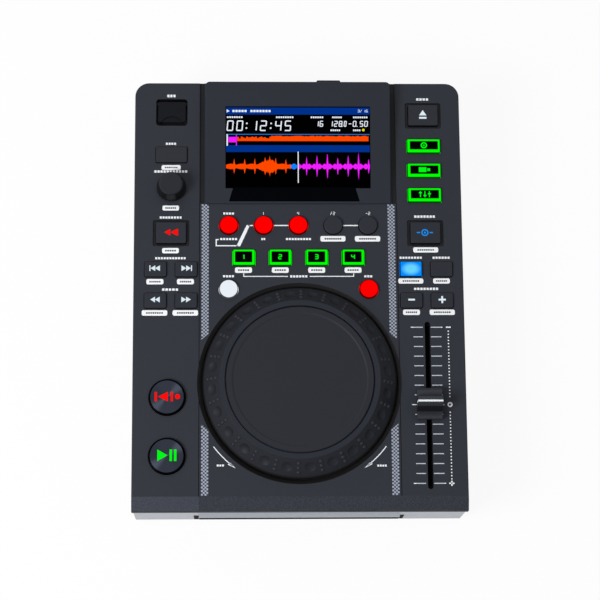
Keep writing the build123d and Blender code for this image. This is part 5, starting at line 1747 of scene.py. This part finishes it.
@dataclass
class JogBumps:
    """Small bumps between the dimples on the jog wheel's sloping band."""

    count: int = 24
    first: float = -91.3  # bearing of the first group in degrees
    foot: Point = (62.9, 2.4)  # band's lower edge: radius, and height over the plate
    top: Point = (52.6, 13.0)
    shares: tuple[float, ...] = (0.22, 0.47, 0.72)  # places of the bumps on the way up the band
    radius: float = 1.6
    sink: float = 0.7

    def group(self) -> Mesh:
        """Makes the bumps of one group, from the wheel's axis.

        Returns:
            The mesh.
        """
        run = self.foot[0] - self.top[0]
        rise = self.top[1] - self.foot[1]
        slant = math.hypot(run, rise)
        balls = bmesh.new()
        for share in self.shares:
            r = self.foot[0] - run * share - self.sink * rise / slant
            z = self.foot[1] + rise * share - self.sink * run / slant
            spot = Matrix.Translation((r * MM, 0, z * MM))
            bmesh.ops.create_icosphere(balls, subdivisions=2, radius=self.radius * MM, matrix=spot)
        for face in balls.faces:
            face.smooth = True
        mesh = bpy.data.meshes.new("bump_group")
        balls.to_mesh(mesh)
        balls.free()
        return mesh

    def build(self, palette: Palette) -> list[Piece]:
        """Sets the group round the wheel.

        Args:
            palette: The materials.

        Returns:
            The piece.
        """
        item = bpy.data.objects.new("bump_group", self.group())
        bpy.context.scene.collection.objects.link(item)
        values = {
            "Item": item,
            "Count": self.count,
            "Start": math.radians(self.first),
            "Middle": (0, (JOG_Y + BODY_Y) * MM, PLATE_Z * MM),
            "Material": palette["bump_rubber"],
        }
        bumps = bake(wheel_tree(), values, "jog_bumps")
        bpy.data.objects.remove(item)
        return [publish(bumps, "jog_bumps", "jog_wheel", "wheel_rubber")]


@dataclass
class FaderMarks:
    """White line over the fader cap's ridge and down its left side."""

    width: float = 16.2
    line: float = 1.2
    shift: float = 0.2  # from the fader's middle to the rear
    ridge: float = 14.0
    foot: float = 7.5
    off: float = 0.1  # how far the side's line stands off the cap

    def build(self, palette: Palette) -> list[Piece]:
        """Makes the line.

        Args:
            palette: The materials.

        Returns:
            The pieces.
        """
        ink = [palette["ink_white"]]
        over = Relief(deck_place(self.ridge) @ Matrix.Translation((COLUMN_X, FADER_Y, 0)))
        over.add([box(0, self.shift, self.width, self.line)])
        left = Matrix.Translation((COLUMN_X - self.width / 2 - self.off, FADER_Y, 0))
        turn = Matrix(((0, 0, -1, 0), (-1, 0, 0, 0), (0, 1, 0, 0), (0, 0, 0, 1)))
        side = Relief(deck_place() @ left @ turn)
        side.add([box(-self.shift, (self.ridge + self.foot) / 2, self.line, self.ridge - self.foot)])
        return [
            over.publish("fader_line_top", "fader", "fader_plastic", ink),
            side.publish("fader_line_side", "fader", "fader_plastic", ink),
        ]


@dataclass
class SlotTrim:
    """Rubber edge of the disc slot, and black end blocks that stand as painted shade in the gaps at the
    slot's ends.
    """

    edge_z: float = 24.1
    edge: Point = (132.6, 8.2)
    end_x: float = 68.25
    end_w: float = 3.4
    end_z: Point = (6.5, 27.9)
    end_depth: Point = (-2.0, -0.1)  # the blocks' back and face, before the fascia

    def build(self, palette: Palette) -> list[Piece]:
        """Makes the trim.

        Args:
            palette: The materials.

        Returns:
            The pieces.
        """
        black = [palette["slot_black"]]
        edge = Relief(front_place(BROW_Y))
        edge.add([box(0, self.edge_z, *self.edge)])
        back, face = self.end_depth
        # painted shade: black blocks fill the gaps at the slot's ends
        ends = Relief(front_place(FASCIA_Y), floor=back)
        low, high = self.end_z
        for x in (-self.end_x, self.end_x):
            ends.add([box(x, (low + high) / 2, self.end_w, high - low)], top=face)
        return [
            edge.publish("slot_edge", "case", "felt", black),
            ends.publish("slot_ends", "case", "felt", black),
        ]


@dataclass
class RearMarks:
    """Coloured jack inserts and plain label marks on the rear panel."""

    jacks: tuple[tuple[str, float, str], ...] = (("left", -62.0, "jack_white"), ("right", -44.0, "jack_red"))
    jack_z: float = 30.0
    jack_out: float = 9.0
    insert: Point = (2.85, 1.7)
    # place from left to right, height and length of each mark
    labels: tuple[tuple[float, ...], ...] = (
        (-53.0, 19.6, 20.0),
        (-12.0, 20.4, 8.0),
        (74.0, 20.4, 12.0),
        (21.6, 33.6, 11.0),
    )
    label_h: float = 2.2
    power: Point = (21.6, 43.3)
    power_out: float = 7.5
    power_ring: Point = (2.6, 2.0)
    power_span: Point = (125, 415)
    power_steps: int = 24
    power_bar: Point = (0.6, 3.0)
    power_bar_up: float = 1.7

    def build(self, palette: Palette) -> list[Piece]:
        """Makes the inserts, the marks and the power symbol.

        Args:
            palette: The materials.

        Returns:
            The pieces.
        """
        pieces = []
        for word, x, finish in self.jacks:
            insert = Relief(rear_place(self.jack_out))
            insert.add(hoop(-x, self.jack_z, *self.insert))
            name = f"jack_insert_{word}"
            pieces.append(insert.publish(name, "case", "socket_plastic", [palette[finish]]))
        ink = [palette["ink_white"]]
        marks = Relief(rear_place())
        for x, z, width in self.labels:
            marks.add(DASHES.row(-x, z, width, self.label_h))
        pieces.append(marks.publish("rear_labels", "case", "panel_steel", ink))
        x, z = self.power
        outer, inner = self.power_ring
        start, end = self.power_span
        symbol = Relief(rear_place(self.power_out))
        steps = self.power_steps
        ring = arc(-x, z, outer, start, end, steps) + arc(-x, z, inner, end, start, steps)
        symbol.add([ring])
        symbol.add([box(-x, z + self.power_bar_up, *self.power_bar)])
        pieces.append(symbol.publish("power_symbol", "power_key", "key_dark", ink))
        return pieces


# ---------------------------------------------------------------- studio

AIM = Vector((0, 0, 0.05))  # what the lamps face
WHITE = (1.0, 1.0, 1.0, 1.0)


@dataclass(frozen=True)
class Lamp:
    """A soft square lamp that faces the object.

    Args:
        name: Name of the lamp.
        place: Where it hangs, in metres.
        size: Side of the square in metres.
        power: Power in watts.
    """

    name: str
    place: Spot
    size: float
    power: float

    def build(self) -> None:
        """Adds the lamp."""
        data = bpy.data.lights.new(self.name, "AREA")
        data.shape = "SQUARE"
        data.size = self.size
        data.energy = self.power
        stand = bpy.data.objects.new(self.name, data)
        stand.location = self.place
        stand.rotation_euler = (AIM - Vector(self.place)).to_track_quat("-Z", "Y").to_euler()
        bpy.context.scene.collection.objects.link(stand)


@dataclass
class Studio:
    """Pale floor, soft lamps and the camera."""

    lamps: tuple[Lamp, ...] = (
        Lamp("key_lamp", (-1.1, -0.6, 1.3), 0.7, 24.0),
        Lamp("fill_lamp", (0.9, -0.2, 1.3), 1.0, 0.8),
        Lamp("rear_lamp", (-0.3, 1.1, 1.2), 1.0, 3.5),
    )
    floor_size: float = 6.0
    floor_tone: Tone = (248, 248, 249)
    shown_share: float = 0.92  # how far the shown floor is plain light
    ambient: float = 0.3
    camera_place: Spot = (-0.04200, -0.32343, 1.41147)
    camera_turn: Spot = (13.102, -1.703, -0.443)
    lens: float = 125.58
    sensor: float = 36.0
    near: float = 0.01

    def build(self) -> None:
        """Adds the floor, the world, the lamps and the camera."""
        scene = bpy.context.scene
        scene.view_settings.view_transform = "Standard"
        self.build_floor()
        self.build_world(scene)
        for item in self.lamps:
            item.build()
        self.build_camera(scene)

    @staticmethod
    def seen(graph: Graph) -> Socket:
        """Tells the rays that show the surroundings from those that light the object.

        Args:
            graph: The tree that gets the nodes.

        Returns:
            1 for rays from the camera, a reflection or glass, and 0 for the rest.
        """
        path = graph.node("ShaderNodeLightPath").outputs
        indirect = graph.math("MAXIMUM", path["Is Glossy Ray"], path["Is Transmission Ray"])
        return graph.math("MAXIMUM", path["Is Camera Ray"], indirect)

    def build_camera(self, scene: bpy.types.Scene) -> None:
        """Adds the camera.

        Args:
            scene: The scene that it shows.
        """
        data = bpy.data.cameras.new("camera")
        data.sensor_width = self.sensor
        data.lens = self.lens
        data.clip_start = self.near
        camera = bpy.data.objects.new("camera", data)
        camera.location = self.camera_place
        camera.rotation_euler = [math.radians(a) for a in self.camera_turn]
        scene.collection.objects.link(camera)
        scene.camera = camera

    def build_floor(self) -> None:
        """Adds a pale floor that keeps a faint shadow."""
        half = self.floor_size / 2
        mesh = bpy.data.meshes.new("floor")
        corners = [(-half, -half, 0), (half, -half, 0), (half, half, 0), (-half, half, 0)]
        mesh.from_pydata(corners, [], [(0, 1, 2, 3)])
        material = bpy.data.materials.new("floor")
        material.use_nodes = True
        material.node_tree.nodes.clear()
        graph = Graph(material.node_tree)
        plain = graph.node("ShaderNodeBsdfDiffuse", {"Color": linear(self.floor_tone)})
        light = graph.node("ShaderNodeEmission", {"Color": WHITE, "Strength": 1.0})
        share = graph.math("MULTIPLY", self.seen(graph), self.shown_share)
        both = graph.node("ShaderNodeMixShader", {0: share, 1: plain.outputs[0], 2: light.outputs[0]})
        graph.node("ShaderNodeOutputMaterial", {"Surface": both.outputs[0]})
        mesh.materials.append(material)
        floor = bpy.data.objects.new("floor", mesh)
        bpy.context.scene.collection.objects.link(floor)
        floor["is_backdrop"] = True

    def build_world(self, scene: bpy.types.Scene) -> None:
        """Adds white surroundings that light the object softly.

        Args:
            scene: The scene that they surround.
        """
        world = bpy.data.worlds.new("surroundings")
        world.use_nodes = True
        world.node_tree.nodes.clear()
        graph = Graph(world.node_tree)
        strength = graph.ramp(self.seen(graph), 0.0, 1.0, self.ambient, 1.0)
        light = graph.node("ShaderNodeBackground", {"Color": WHITE, "Strength": strength})
        graph.node("ShaderNodeOutputWorld", {"Surface": light.outputs[0]})
        scene.world = world


# parts whose look differs from the rest of their material slot
SINGLE_FINISHES = {"fader_body": "slot_black", "usb_cover": "lid_dark"}


def dress_parts(palette: Palette) -> None:
    """Gives each CAD part its own finish, or that of its material slot.

    Args:
        palette: The materials.
    """
    for part in frame["record"]["subparts"]:
        node = frame["nodes"][part["node"]]
        finish = SINGLE_FINISHES.get(part["node"], part["material_slot"])
        for slot in node.material_slots:
            slot.material = palette[finish]
        LOG.info("%s wears %s", part["node"], finish)


def write_sizes() -> None:
    """Turns the CAD box and the visual model's box into plain lists; nothing is written."""
    boxes = {"cad": CAD_BOX, "visual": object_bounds()}
    plain = {name: [[float(v) for v in corner] for corner in corners] for name, corners in boxes.items()}


def main() -> None:
    """Builds the visual model and its studio."""
    logging.basicConfig(level=logging.INFO)
    palette = Palette()
    dress_parts(palette)
    details = [
        DeckPrint(),
        HatchStrips(),
        FaderScale(),
        Picture(),
        JogBumps(),
        FaderMarks(),
        RearMarks(),
        SlotTrim(),
    ]
    for detail in details + all_legends():
        for piece in detail.build(palette):
            LOG.info("%s has %d faces", piece.name, len(piece.data.polygons))
    Studio().build()
    write_sizes()


if __name__ == "__main__":
    main()
